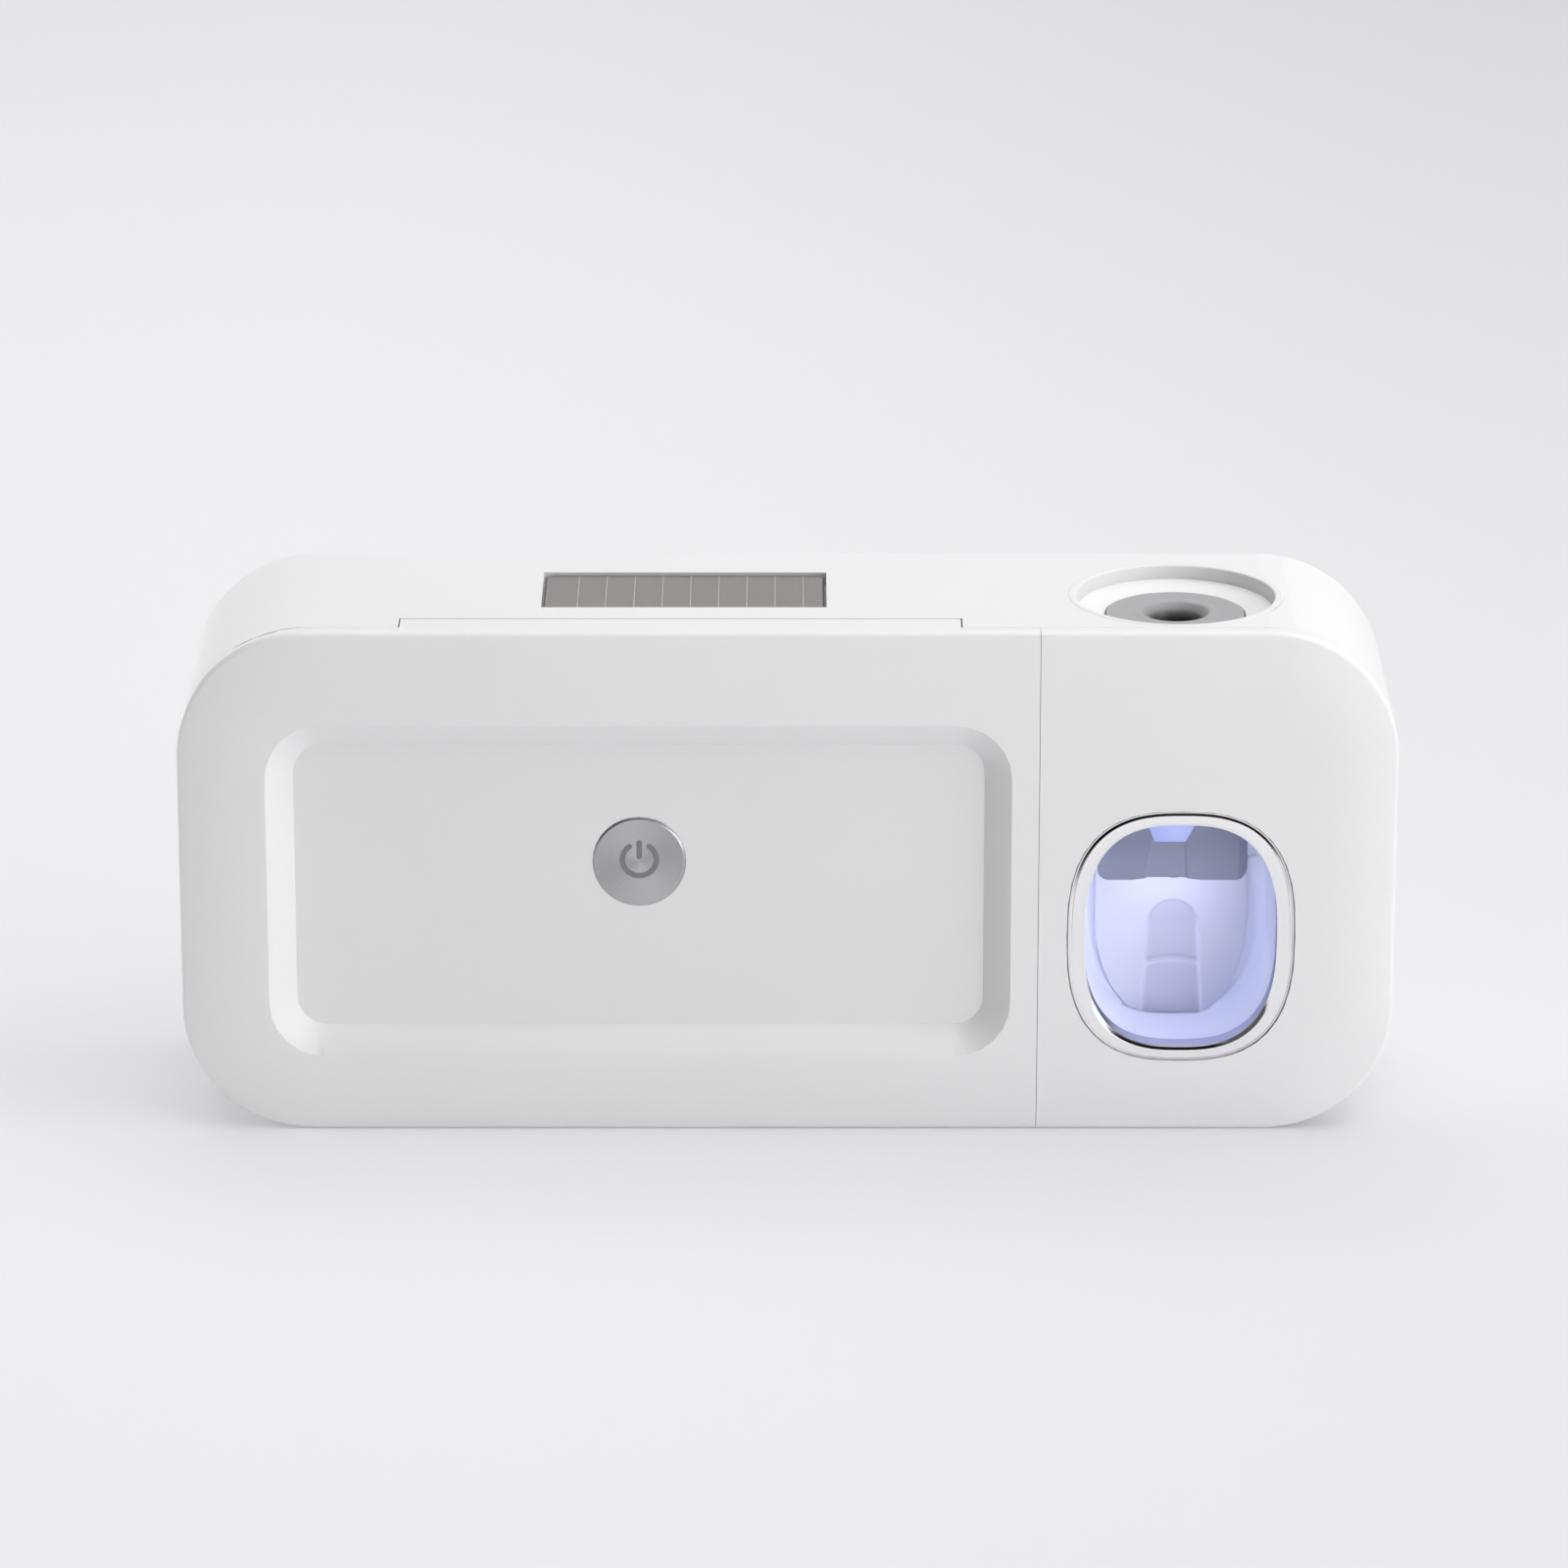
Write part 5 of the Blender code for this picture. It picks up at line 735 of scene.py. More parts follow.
# profile carried round a superellipse, from the inner to the outer half widths
def buildWindowRing(s):
    profile = filletPath([(across, s.front + behind, fillet)
                          for across, behind, fillet in s.profile], True)
    unit = superellipse(s.power, s.points)
    side, up = unit[:, 0], unit[:, 1]
    share, depth = profile[:, :1], profile[:, 1:]
    halfX = s.inner[0] + (s.outer[0] - s.inner[0]) * share
    halfZ = s.inner[1] + (s.outer[1] - s.inner[1]) * share
    grid = np.stack(np.broadcast_arrays(s.centre[0] + halfX * side, depth + 0 * side,
                                        s.centre[1] + halfZ * up), -1)
    ring = meshOf("windowRing", [tubePart(grid, wrapRows=True)])
    # the dark share is painted dark reflection and shade, kept on the ring's points
    dark = paintedDarkOf(share, side, up, ringPaintedDark).ravel()
    tree = KDTree(dark.size)
    for index, spot in enumerate(grid.reshape(-1, 3)):
        tree.insert(spot, index)
    tree.balance()
    storePaintedLight(ring, dark[[tree.find(spot)[1] for spot in pointsOf(ring)]])
    seat(ring, "casing", "chrome", chromeRing, "window_trim_ring")


buildWindowRing(windowRing)
print("window ring rolled")

# collar and funnel; a profile's corners are radius, height over the casing's top, fillet
funnelTop = Settings(
    centre=(0.0785, -0.0005, 0.1058), turns=128, sharp=40,
    collar=[
        (0.0212, -0.0052, 0), (0.0212, 0, 0), (0.0217, 0.00002, 0), (0.0215, 0.00012, 0.0001),
        (0.0201, 0.00012, 0.0004), (0.0200, -0.0027, 0.0001), (0.0198, -0.0031, 0),
        (0.0196, -0.0027, 0.0001), (0.0143, -0.0040, 0.0001), (0.0143, -0.0052, 0)],
    collarSteps=6,
    seal=[
        (0.0140, -0.0052, 0), (0.0140, -0.0037, 0.0003), (0.0092, -0.00365, 0.0030),
        (0.0070, -0.0033, 0.0012), (0.0056, -0.0050, 0.0020), (0.0046, -0.0080, 0.0040),
        (0.0042, -0.0128, 0.0020), (0.0042, -0.0185, 0), (0.0080, -0.0185, 0),
        (0.0088, -0.0125, 0.001), (0.0088, -0.0052, 0)],
    sealSteps=8)


# both are filleted profiles turned about the tube's axis
def buildFunnel(s):
    for name, part, slotName, material, node in (
            ("tubeCollar", "collar", "casing_white", plastics["collarWhite"], "tube_collar"),
            ("funnelSeal", "seal", "silicone", siliconeGrey, "funnel_seal")):
        path = filletPath(s[part], True, s[part + "Steps"])
        grid = lathe(path, s.turns) + np.array(s.centre)
        seat(meshOf(name, [tubePart(grid, wrapRows=True)], s.sharp), "casing", slotName,
             material, node)


buildFunnel(funnelTop)
print("funnel turned")

# power button; its cap's corners are radius, depth behind the front, fillet
button = Settings(
    centre=(-0.02985, 0.05665), front=-0.0237, turns=128, steps=4, stem=0.0015,
    cap=[
        (0, 0.00002, 0), (0.00883, 0, 0), (0.00903, 0, 0), (0.00943, 0.0002, 0.0002),
        (0.00943, 0.0023, 0), (0.01063, 0.0023, 0), (0.01063, 0.0031, 0), (0.0015, 0.0031, 0)])
powerSymbol = Settings(
    centre=(-0.02985, 0.0571), radius=0.00342, half=0.00056, gap=0.0030, points=200, tip=0.01,
    proud=0.00003, sunk=0.0002, barHalf=0.00057, barZ=(0.0001, 0.00415), barRound=0.95, barSteps=5)


# a dished cap with a skirt and a stem, turned about the button's axis
def buildButton(s):
    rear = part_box("power_button")[1].y
    corners = [(radius, s.front + behind, fillet) for radius, behind, fillet in s.cap]
    path = filletPath(corners + [(s.stem, rear, 0), (0, rear, 0)], False, s.steps)
    centre = (s.centre[0], 0, s.centre[1])
    grid = turnTo(lathe(path, s.turns), "y") + np.array(centre)
    seat(meshOf("powerButtonCap", [tubePart(grid)]), "button", "button_metal",
         spunMetal("buttonMetal", centre, spinning), "power_button")


# inlaid symbol: a broken ring whose half width is h sqrt(1 - (1 - d / h)^2) at d from an end,
# and a bar with rounded ends
def buildSymbol(s, front):
    cx, cz = s.centre
    opening = math.asin(s.gap / 2 / s.radius)
    turn = np.linspace(np.pi / 2 + opening, 5 * np.pi / 2 - opening, s.points)[:, None]
    fromEnd = np.minimum(turn - turn[0], turn[-1] - turn) * s.radius
    rounding = 1 - np.clip(1 - fromEnd / s.half, 0, 1) ** 2
    half = s.half * np.sqrt(np.clip(rounding, s.tip, 1))
    reach = s.radius + half * np.array([-1, 1, 1, -1])
    depths = (front - s.proud, front + s.sunk)
    depth = np.repeat(depths, 2)
    arc = np.stack([cx + reach * np.cos(turn), depth + 0 * turn, cz + reach * np.sin(turn)], -1)
    x0, x1 = cx - s.barHalf, cx + s.barHalf
    z0, z1 = (cz + z for z in s.barZ)
    fillet = s.barHalf * s.barRound
    bar = filletPath([(x1, z0, fillet), (x1, z1, fillet), (x0, z1, fillet), (x0, z0, fillet)],
                     True, s.barSteps)
    seat(meshOf("powerSymbol", [tubePart(arc, capEnds=True), slab(bar, depths)]), "button",
         "button_metal", plastics["symbolGrey"])


buildButton(button)
buildSymbol(powerSymbol, button.front)
print("button spun")

# solar panel: a wide first cell, eight alike and a narrow last one, between pale fingers
solar = Settings(
    x=(-0.0492, 0.0074), depth=(-0.0086, 0.0143), top=0.1052, sunk=0.0002, firstLine=-0.0424,
    pitch=0.0057, lines=9, edge=0.00025, thick=0.00006, finger=0.00017, fingerRise=1.2)


def buildSolar(s):
    left, right = s.x[0] + s.edge, s.x[1] - s.edge
    near, far = s.depth[0] + s.edge, s.depth[1] - s.edge
    lines = s.firstLine + s.pitch * np.arange(s.lines)
    half, low = s.finger / 2, s.top - s.sunk
    starts, stops = np.append(left - half, lines), np.append(lines, right + half)
    high = s.top + s.thick
    cells = [boxPart((x0 + half, near, low), (x1 - half, far, high))
             for x0, x1 in zip(starts, stops)]
    high = s.top + s.thick * s.fingerRise
    fingers = [boxPart((x - half, near, low), (x + half, far, high)) for x in lines]
    seat(meshOf("solarCells", cells), "casing", "solar_cell",
         solarFace("solarFace", s.firstLine, s.pitch, cellLook))
    seat(meshOf("solarFingers", fingers), "casing", "steel", metals["fingerSilver"])


buildSolar(solar)
print("solar cells laid")

# push plate: a shield with a stepped U groove, a barrel on the pin, and an arm
plate = Settings(
    x=0.0786, front=-0.0011, thick=0.003, half=0.01563, top=0.0491, bottom=0.0157, curve=0.0225,
    cutOff=0.0020, rows=210, cols=171, edge=0.00035, footEdge=3, sharp=30, groove=0.0052,
    flare=0.0013, grooveShift=0.0004, grooveTop=0.0251, soft=0.0008, softStart=0.2, upper=0.0021,
    lower=0.0011, stepRise=0.0117, stepBow=0.0008, stepSoft=0.0003, shallow=0.35, deepens=0.007,
    pivot=(0.0035, 0.0465), barrel=0.0026, barrelHalf=0.0153, pinHole=0.0013, barrelTurns=48,
    armHalf=0.0050, armY=(-0.0038, 0.001), armDrop=0.0003, frontBand=0.0027, rearTone=0.6)
# painted light and shade on its front: a grade that falls to the right and down, painted shade on
# the groove's floor, painted highlights on the rims, and a highlight and a dark crease at the step
platePaintedLight = Settings(
    base=0.80, side=0.16, sideSpan=(-0.6, 1.0), down=0.06, downSpan=(-0.004, 0.018), floor=0.21,
    floorSpan=(0.0, 0.0008), rim=0.52, rimAt=0.00035, rimWide=0.00040, rimSpan=(-0.003, 0.004),
    step=0.22, stepAt=-0.0004, stepWide=0.0004, creaseAt=0.0005, creaseWide=0.0003,
    stepSpan=(0.0, 0.0006))
# strip behind the plate's edge, whose painted glow lightens the shaded gap round the plate, and the
# lip round the liner's opening
apron = Settings(
    proud=0.0002, top=0.0482, depth=0.0026, thick=0.0006, footDrop=0.0006, footSpan=0.001)
openingLip = Settings(gap=0.00015, drop=0.00017, wide=0.0011, front=0.0003, rear=0.0012)


# half width at height z: straight sides, then a quarter ellipse that is cut off at the foot
def plateWidth(s, z):
    drop = np.clip((s.bottom + s.curve - s.cutOff - z) / s.curve, 0, 1)
    return s.half * np.sqrt(1 - drop ** 2)


# front depth over (x, z): a rounded border, less a groove whose floor steps up and fades in
# below its arch, where inside is the distance in from the groove's wall
def buildPlate(s, t):
    top, bottom = s.top, s.bottom
    z = np.linspace(top, bottom, s.rows)[:, None]
    width = plateWidth(s, z)
    x = width * np.sin(np.linspace(-1, 1, s.cols)[None, :] * np.pi / 2)
    archZ = bottom + s.grooveTop - s.groove
    wall = s.groove + s.flare * np.clip((archZ - z) / (archZ - bottom), 0, 1)
    across = x - s.grooveShift
    arch = s.groove - np.hypot(across, z - archZ)
    inside = np.where(z > archZ, arch, wall - np.abs(across))
    fromStep = z - (bottom + s.stepRise - s.stepBow * (across / s.groove) ** 2)
    rise = smoothRamp(fromStep, -s.stepSoft, s.stepSoft)
    floor = s.lower + (s.upper - s.lower) * rise
    deep = smoothRamp(archZ + s.groove - z, 0, s.deepens)
    deep = s.shallow + (1 - s.shallow) * deep
    sink = floor * deep * smoothRamp(inside, -s.soft * s.softStart, s.soft)
    border = np.minimum(width - np.abs(x), np.minimum(top - z, (z - bottom) * s.footEdge))
    rounded = np.clip(1 - border / s.edge, 0, 1)
    face = s.front + sink + s.edge * (1 - np.sqrt(1 - rounded ** 2))
    rear = np.full_like(face, s.front + s.thick)

    # painted light and shade of the front: highlights on the groove's rims and step, a dark crease
    # beside the step, shade on the groove's floor, and darker to the right and down
    rim = bell(inside - t.rimAt, t.rimWide) * smoothRamp(archZ - z, *t.rimSpan)
    within = smoothRamp(inside, *t.stepSpan)
    step = bell(fromStep - t.stepAt, t.stepWide) * within
    crease = bell(fromStep - t.creaseAt, t.creaseWide) * within
    grade = t.base - t.side * smoothRamp(x / s.half, *t.sideSpan)
    grade = grade - t.down * smoothRamp(archZ - z, *t.downSpan)
    tone = grade - t.floor * smoothRamp(inside, *t.floorSpan) + t.rim * rim
    tone = np.clip(tone + t.step * (step - crease), 0, 1)

    z = np.broadcast_to(z, face.shape)
    frontGrid = np.stack([s.x + x, face, z], -1)
    rearGrid = np.stack([s.x + x, rear, z], -1)[:, ::-1]
    shield = tubePart(np.concatenate([frontGrid, rearGrid], 1), capEnds=True)
    (py, pz), end = s.pivot, s.barrelHalf
    barrelPath = np.array([(s.pinHole, -end), (s.barrel, -end),
                           (s.barrel, end), (s.pinHole, end)])
    barrelGrid = turnTo(lathe(barrelPath, s.barrelTurns), "x") + np.array([s.x, py, pz])
    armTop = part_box("push_plate")[1].z
    arm = boxPart((s.x - s.armHalf, py + s.armY[0], pz - s.armDrop),
                  (s.x + s.armHalf, py + s.armY[1], armTop))
    skin = meshOf("pushPlate", [shield, tubePart(barrelGrid, wrapRows=True), arm], s.sharp)

    places = pointsOf(skin)
    lastRow, lastCol = s.rows - 1, s.cols - 1
    row = np.rint((top - places[:, 2]) / (top - bottom) * lastRow).astype(int).clip(0, lastRow)
    across = np.clip((places[:, 0] - s.x) / width[row, 0], -1, 1)
    col = np.rint((np.arcsin(across) * 2 / np.pi + 1) / 2 * lastCol).astype(int)
    onFront = places[:, 1] < s.front + s.frontBand
    storePaintedLight(skin, np.where(onFront, tone[row, col], s.rearTone))
    seat(skin, "lever", "casing_white", plateWhite, "push_plate")


# strip of the plate's outline, a little wider, with a lower foot
def buildApron(s, p):
    z = np.linspace(p.top, p.bottom, p.rows)
    edge = np.stack([p.x + plateWidth(p, z) + s.proud, z], -1)
    loop = mirrored(edge[edge[:, 1] < s.top], p.x)
    loop[:, 1] -= s.footDrop * (loop[:, 1] < p.bottom + s.footSpan)
    strip = slab(loop, (s.depth, s.depth + s.thick))
    seat(meshOf("plateApron", [strip]), "lever", "casing_white", apronPaintedGlow)


# band carried down one side of the plate's outline and up the other, a gap outside it
def buildOpeningLip(s, p):
    z = np.linspace(p.top, p.bottom, p.rows)
    path = mirrored(np.stack([p.x + plateWidth(p, z), z], -1), p.x)
    along = np.gradient(path, axis=0)
    normal = np.stack([-along[:, 1], along[:, 0]], -1)
    normal = normal / np.linalg.norm(along, axis=1)[:, None]
    near = s.gap + s.drop * np.clip(-normal[:, 1:], 0, 1)
    reach = near + np.array([0, 1, 1, 0]) * s.wide
    depth = np.array([s.front, s.front, s.rear, s.rear])
    grid = np.stack([path[:, :1] + normal[:, :1] * reach, depth + 0 * reach,
                     path[:, 1:] + normal[:, 1:] * reach], -1)
    seat(meshOf("openingLip", [tubePart(grid, capEnds=True)]), "casing", "liner_white",
         linerWhite)


buildPlate(plate, platePaintedLight)
buildApron(apron, plate)
buildOpeningLip(openingLip, plate)
print("push plate shaped")

# front of the pump block: a facet between two leaning lines, a chamfered right end, and painted
# shade on its facets and chamfer
blockFace = Settings(
    x=(0.0627, 0.0930), bottom=0.0508, top=0.0655, front=-0.0183, rear=-0.01735, steps=200,
    crowd=0.06, rise=70, round=0.0023, facetLow=(0.0722, 0.0811), facetHigh=(0.0736, 0.0806),
    facetTop=0.0589, facetSoft=0.0005, recess=0.0006, fade=0.8, upMost=1.4, arch=0.0004,
    archSpan=(0.003, 0.0075), chamfer=0.0017, slope=0.38, footBack=0.00025, footHigh=0.0004,
    sharp=20,
    tones=Settings(left=0.42, facet=0.54, right=0.52, chamfer=0.38, fall=0.10, fallSpan=(0.5, 1.0)))
# lens let into it, wider at its top
lens = Settings(
    low=(0.07421, 0.08047), high=(0.07175, 0.08350), z=(0.0591, 0.0650), fillet=0.0003, steps=4,
    proud=0.00012)
# the block's own front is drawn in behind this face
blockFit = Settings(
    front=-0.0130, below=0.0530, floor=0.0495, lowKeep=0.1, middle=0.0785, side=0.0120,
    newMiddle=0.0778, sideKeep=0.97)


# x of the facet's two sides at share up of its height
def facetSides(s, up):
    return [low + (high - low) * up for low, high in zip(s.facetLow, s.facetHigh)]


# depth over (x, z): flat, less a recess between the facet's sides that fades upwards,
# plus a chamfer at the right; the foot's line is x's corner rounding and a low arch
def buildBlockFace(s):
    (x0, x1), bottom, tones = s.x, s.bottom, s.tones
    spread = np.linspace(0, 1, s.steps)
    spread = spread - s.crowd * np.sin(2 * np.pi * spread)
    x = (x0 + (x1 - x0) * spread)[:, None]
    toEnd = np.clip(s.round - np.minimum(x - x0, x1 - x), 0, None)
    corner = s.round - np.sqrt(np.clip(s.round ** 2 - toEnd ** 2, 0, None))
    middle = sum(s.facetLow) / 2
    arch = s.arch * (1 - smoothRamp(np.abs(x - middle), *s.archSpan))
    foot = bottom + corner + arch
    z = foot + (s.top - foot) * np.linspace(0, 1, s.rise)[None, :]
    up = np.clip((z - bottom) / (s.facetTop - bottom), 0, s.upMost)
    left, right = facetSides(s, up)
    inFacet = smoothRamp(np.minimum(x - left, right - x), 0, s.facetSoft)
    y = s.front + s.recess * inFacet * (1.0 - s.fade * np.clip(up, 0, 1))
    y = y + s.slope * np.clip(x - (x1 - s.chamfer), 0, None)
    y = y + s.footBack * smoothRamp(s.footHigh - (z - foot), 0, s.footHigh)
    front = np.stack([x + 0 * z, y, z], -1)
    back = np.stack([front[:, [-1, 0], 0], np.full((len(x), 2), s.rear),
                     front[:, [-1, 0], 2]], -1)
    grid = np.concatenate([front, back], 1)
    skin = meshOf("blockFace", [tubePart(grid, capEnds=True)], s.sharp)

    # painted shade: each facet and the chamfer get their own share, darker towards the top
    places = pointsOf(skin)
    px = places[:, 0]
    up = np.clip((places[:, 2] - bottom) / (s.facetTop - bottom), 0, 1)
    left, right = facetSides(s, up)
    share = np.where(px < left, tones.left,
                     np.where(px < right, tones.facet, tones.right))
    share = share - tones.fall * smoothRamp(up, *tones.fallSpan)
    storePaintedLight(skin, np.where(px > x1 - s.chamfer, tones.chamfer, share))
    seat(skin, "casing", "pump_grey", blockGrey)


def buildLens(s, face):
    (low0, low1), (high0, high1), (z0, z1) = s.low, s.high, s.z
    outline = filletPath([(low0, z0, s.fillet), (low1, z0, s.fillet), (high1, z1, 0),
                          (high0, z1, 0)], True, s.steps)
    depths = (face.front - s.proud, face.rear)
    seat(meshOf("uvLens", [slab(outline, depths)]), "casing", "lens", lensBlue, "uv_led_lens")


# low points go to below + keep (z - floor), side points to new middle + keep (x - middle)
def fitBlock(skin, s):
    nudge(skin, lambda p: (p[:, 2] < s.below) & (p[:, 1] < s.front),
          lambda p: np.stack([p[:, 0], p[:, 1],
                              s.below + s.lowKeep * (p[:, 2] - s.floor)], -1))
    nudge(skin, lambda p: (np.abs(p[:, 0] - s.middle) > s.side) & (p[:, 1] < s.front),
          lambda p: np.stack([s.newMiddle + s.sideKeep * (p[:, 0] - s.middle),
                              p[:, 1], p[:, 2]], -1))


buildBlockFace(blockFace)
buildLens(lens, blockFace)
fitBlock(skins["pump_block"], blockFit)
print("block front faceted")

# close seams: how far cover, rims and panel reach into their gaps, and where those points are
seams = Settings(
    cover=0.0002, coverEdge=0.0508, rim=0.00018, rimY=-0.0229, rimSlack=0.00002, rimSide=0.098,
    rimTop=0.1035, rimBottom=0.0035, panel=0.00019, panelFront=-0.0216, hole=0.977,
    holeRadius=0.0104)


# rim points move back, the panel grows about its middle, and the button's hole shrinks
def closeSeams(s):
    def onRim(p):
        outer = (np.abs(p[:, 0]) > s.rimSide) | (p[:, 2] > s.rimTop)
        outer = outer | (p[:, 2] < s.rimBottom)
        return (np.abs(p[:, 1] - s.rimY) < s.rimSlack) & outer

    nudge(skins["dispenser_cover"], lambda p: p[:, 0] < s.coverEdge,
          lambda p: p - [s.cover, 0, 0])
    for name in ("door_frame", "dispenser_cover"):
        nudge(skins[name], onRim, lambda p: p + [0, s.rim, 0])
    low, high = (np.array(corner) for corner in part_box("door_panel"))
    middle = (low + high) / 2 * [1, 0, 1]
    grow = 1 + 2 * s.panel / (high - low) * [1, 0, 1]
    nudge(skins["door_panel"], lambda p: p[:, 1] < s.panelFront,
          lambda p: middle + (p - middle) * grow)
    hub = np.array([button.centre[0], 0, button.centre[1]])
    nudge(skins["door_panel"],
          lambda p: np.hypot(p[:, 0] - hub[0], p[:, 2] - hub[2]) < s.holeRadius,
          lambda p: hub + (p - hub) * [s.hole, 1, s.hole])


# filler of the door's hinge relief, a rim on the casing whose front is an arc about the hinge
relief = Settings(
    hinge=(-0.01935, 0.1035), reach=0.0039, seam=-0.0226, corner=(-0.0965, 0.0798),
    rim=(0.0260, 0.02555), turn=(55.6, 87.2), steps=25)


# front at y = hinge y - sqrt(reach^2 - (z - hinge z)^2), where that lies ahead of the seam
def buildRelief(s):
    turn = np.radians(np.linspace(*s.turn, s.steps))[:, None]
    rim = np.array([s.rim[0], s.rim[1], s.rim[1], s.rim[0]])
    x, z = s.corner[0] - rim * np.cos(turn), s.corner[1] + rim * np.sin(turn)
    arc = np.sqrt(np.clip(s.reach ** 2 - (z - s.hinge[1]) ** 2, 0, None))
    front = np.minimum(s.hinge[0] - arc, s.seam)
    y = np.where([True, True, False, False], front, s.seam)
    grid = np.stack([x, y, z], -1)
    seat(meshOf("hingeFill", [tubePart(grid, capEnds=True)]), "casing", "casing_white",
         plastics["casingWhite"])


closeSeams(seams)
buildRelief(relief)
print("seams closed up")

# screws: a domed head with a cross recess, on a ridged shank
screw = Settings(
    head=0.0024, headHeight=0.0015, dome=0.75, shank=0.0011, cross=0.00035, crossStart=0.6,
    arm=0.0014, armStart=0.75, recess=0.0007, turns=48, rings=15, ridges=41, ridgeDepth=0.00012,
    plainEnd=0.0008, tip=0.0002, sharp=40)


# head height over (r, t): a dome, less a cross where |x| or |y| is small
def buildScrew(name, s):
    low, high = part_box(name)
    upright = name.startswith("pump")
    cx, cy, cz = ((a + b) / 2 for a, b in zip(low, high))
    turn = np.linspace(0, 2 * np.pi, s.turns, endpoint=False)
    radius = np.linspace(0, 1, s.rings)[:, None] * s.head
    x, y = radius * np.cos(turn), radius * np.sin(turn)
    dome = np.sqrt(np.clip(1 - (radius / s.head) ** 2 * s.dome, 0, 1))
    arms = 1 - smoothRamp(np.minimum(np.abs(x), np.abs(y)), s.cross * s.crossStart, s.cross)
    cut = arms * (1 - smoothRamp(radius, s.arm * s.armStart, s.arm))
    top = np.stack([x, y, s.headHeight * dome - s.recess * cut], -1)
    length = (high.z - low.z if upright else high.y - low.y) - s.headHeight
    ridge = np.linspace(0, length - s.plainEnd, s.ridges)
    thread = s.shank - s.ridgeDepth * (np.arange(s.ridges) % 2)
    path = np.concatenate([[(s.head, 0)], np.stack([thread, -ridge], -1),
                           [(s.tip, -length), (0, -length)]])
    grid = np.concatenate([top, lathe(path, s.turns)])
    if upright:
        grid = grid * np.array([1, 1, -1]) + np.array([cx, cy, low.z + s.headHeight])
    else:
        grid = turnTo(grid, "y") + np.array([cx, high.y - s.headHeight, cz])
    seat(meshOf(name + "_pan", [tubePart(grid)], s.sharp), nodes[name]["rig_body"], "steel",
         metals["screwSteel"], name)


screwNames = [name for name in nodes if "_screw_" in name]
for name in screwNames:
    buildScrew(name, screw)
print("screws cut:", len(screwNames))

# plunger spring, wound between the ends of its part's box
springWire = Settings(
    coil=0.0041, wire=0.00025, turns=3, centre=(0.0785, 0.0559), points=220, sides=12, sharp=60,
    travel=0.00197)


# round wire carried along a helix about y
def buildSpring(s):
    low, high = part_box("plunger_spring")
    start, stop = low.y + s.wire, high.y - s.wire
    share = np.linspace(0, 1, s.points)[:, None, None]
    turn = share * s.turns * 2 * np.pi
    about = np.linspace(0, 2 * np.pi, s.sides, endpoint=False)[None, :, None]
    outward = np.concatenate([np.cos(turn), 0 * turn, np.sin(turn)], -1)
    along = np.array([0.0, 1.0, 0.0])
    spine = s.coil * outward + np.array([s.centre[0], 0, s.centre[1]])
    spine = spine + along * (start + (stop - start) * share)
    grid = spine + s.wire * (np.cos(about) * outward + np.sin(about) * along)
    spring = meshOf("plungerCoil", [tubePart(grid, capEnds=True)], s.sharp)
    seat(spring, "casing", "steel", metals["screwSteel"], "plunger_spring")
    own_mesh(spring)


buildSpring(springWire)
print("spring wound")

# paper sweep: its tint turns to the darker right one across x, a painted shade, and its glow shows
# to the camera
stageSet = Settings(
    floor=(0.865, 0.860, 0.876), right=(0.757, 0.753, 0.767), turn=(-0.18, 0.30), roughness=0.9,
    glow=0.35, glowPower=0.975, width=3.0, front=-1.6, back=1.5, bend=0.5, bendSteps=24, height=1.4)


def stagePaper(s):
    paper = Recipe("palePaper", Roughness=s.roughness)
    # painted shade: the tint darkens to the right
    tone = paper.blend(paper.smoothStep(paper.axes()[0], *s.turn), s.floor, s.right)
    paper.put(Base_Color=tone)
    rays = paper.tree.nodes.new("ShaderNodeLightPath")
    camera, glossy, through = (Value(paper, rays.outputs[name]) for name in
                               ("Is Camera Ray", "Is Glossy Ray", "Is Transmission Ray"))
    seen = camera.maths("MAXIMUM", glossy).maths("MAXIMUM", through)
    glow = paper.node("ShaderNodeEmission", {}, {"Color": tone, "Strength": s.glowPower})
    lit = Value(paper, paper.shader.outputs[0])
    mixed = paper.node("ShaderNodeMixShader", {}, {0: seen * s.glow, 1: lit, 2: glow})
    paper.tree.links.new(mixed.socket, paper.tree.nodes["Material Output"].inputs["Surface"])
    return paper.material


# floor that curves up behind: y runs back, then a quarter circle, then straight up
def buildStage(s):
    turn = np.linspace(0, np.pi / 2, s.bendSteps)
    y = np.concatenate([[s.front], s.back + s.bend * np.sin(turn), [s.back + s.bend]])
    z = np.concatenate([[0.0], s.bend * (1 - np.cos(turn)), [s.height]])
    x = np.array([-s.width, s.width])
    grid = np.stack(np.broadcast_arrays(x[None, :], y[:, None], z[:, None]), -1)
    quads = gridFaces(len(y), 2, wrapCols=False)[:, ::-1]
    mesh = bpy.data.meshes.new("paperSweep")
    mesh.from_pydata(grid.reshape(-1, 3).tolist(), [], quads.tolist())
    mesh.shade_smooth()
    sweep = bpy.data.objects.new("paperSweep", mesh)
    bpy.context.scene.collection.objects.link(sweep)
    dress(sweep, stagePaper(s))


buildStage(stageSet)

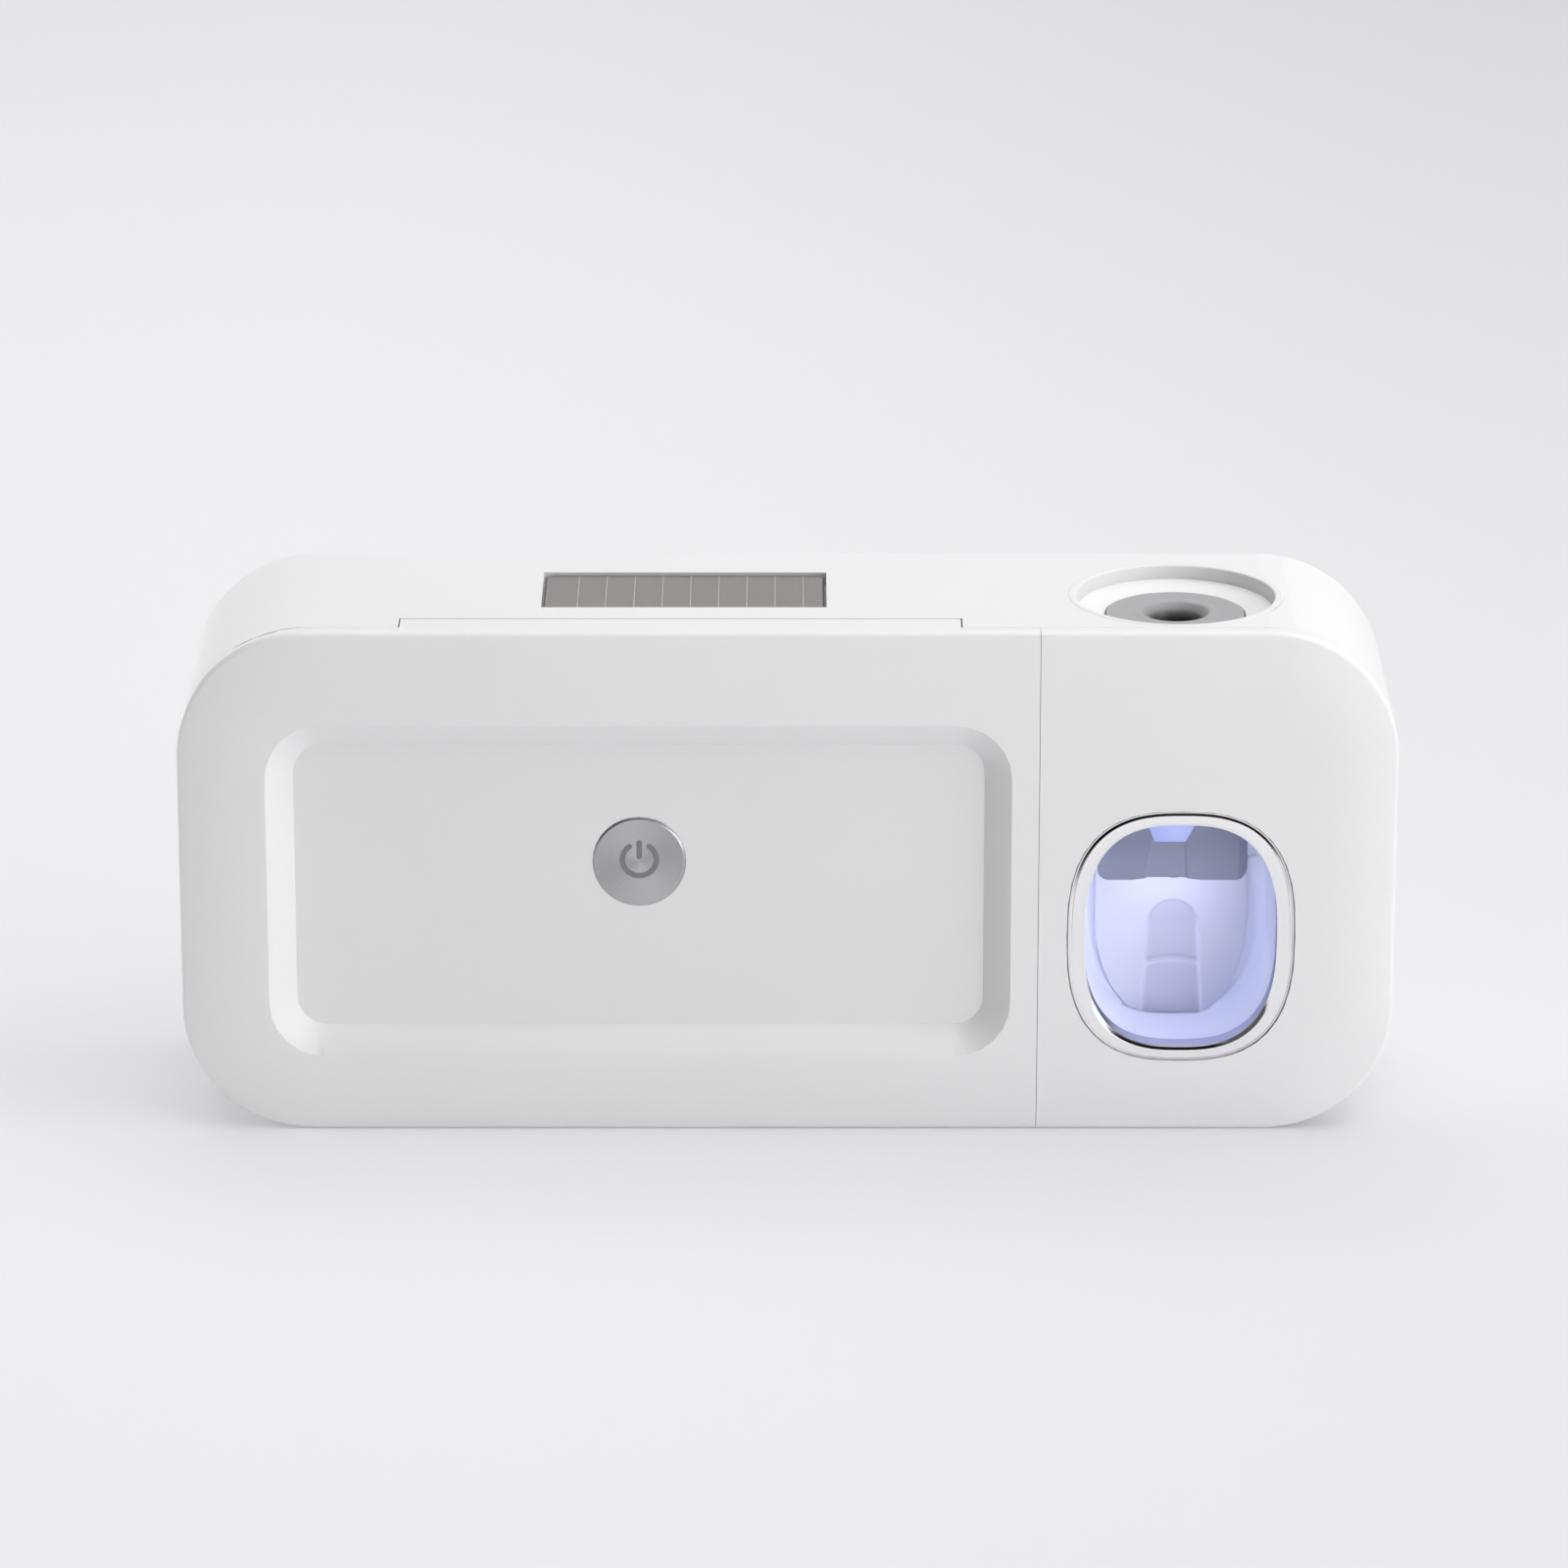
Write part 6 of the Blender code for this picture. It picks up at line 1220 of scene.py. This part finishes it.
# area lamps: place and aim in metres, power in watts; the diode lights the cavity
caseMiddle = (0, 0, 0.05)
white = (1, 1, 1)
lamps = Settings(
    overhead=Settings(place=(0.1, 0.1, 1.3), aim=caseMiddle, size=(1.8, 1.2), power=9.3),
    overFront=Settings(place=(0.1, -0.9, 1.2), aim=caseMiddle, size=(1.2, 0.8), power=2.85),
    rightFar=Settings(place=(1.3, -0.7, 0.75), aim=caseMiddle, size=(1.0, 1.0), power=8.0),
    rightTop=Settings(place=(0.7, 0.1, 1.05), aim=caseMiddle, size=(0.8, 0.8), power=3.6),
    lowFront=Settings(place=(0.85, -1.2, 0.12), aim=caseMiddle, size=(1.2, 0.2), power=5.3),
    leftLow=Settings(place=(-1.05, 0.42, 0.07), aim=(0, 0.02, 0.05), size=(0.8, 0.12), power=6.0),
    wash=Settings(place=(0.0, 1.15, 1.3), aim=(0, 1.1, 0), size=(2.4, 1.2), power=8.5),
    diode=Settings(
        place=(0.0785, -0.0120, 0.0490), aim=(0.0785, -0.004, 0.030), size=(0.016, 0.008),
        power=0.0026, colour=(0.64, 0.67, 1.0)))


def buildLamps(table):
    for name, s in table.items():
        lamp = bpy.data.lights.new(name, "AREA")
        lamp.shape = "RECTANGLE"
        lamp.size, lamp.size_y = s.size
        lamp.energy = s.power
        lamp.color = s.get("colour", white)
        holder = bpy.data.objects.new(name, lamp)
        toAim = Vector(s.aim) - Vector(s.place)
        holder.location = s.place
        holder.rotation_euler = toAim.to_track_quat("-Z", "Y").to_euler()
        bpy.context.scene.collection.objects.link(holder)


buildLamps(lamps)

room = Settings(colour=white, strength=0.10)
world = bpy.data.worlds.new("paleRoom")
bpy.context.scene.world = world
world.use_nodes = True
background = world.node_tree.nodes["Background"]
background.inputs["Color"].default_value = (*room.colour, 1)
background.inputs["Strength"].default_value = room.strength

# camera fitted to the photo: place in metres, pitch in degrees, focal length in photo pixels
view = Settings(
    place=(-0.0007, -1.5073, 0.5716), pitchDown=18.57, focalPixels=7953.0, imagePixels=1600.0,
    sensor=36.0, clip=(0.05, 20.0))
lensData = bpy.data.cameras.new("camera")
lensData.sensor_width = view.sensor
lensData.lens = view.focalPixels / view.imagePixels * view.sensor
lensData.clip_start, lensData.clip_end = view.clip
camera = bpy.data.objects.new("camera", lensData)
camera.location = view.place
camera.rotation_euler = (math.radians(90 - view.pitchDown), 0, 0)
bpy.context.scene.collection.objects.link(camera)
bpy.context.scene.camera = camera
bpy.context.scene.view_settings.view_transform = "Standard"
print("stage, lights and camera set")
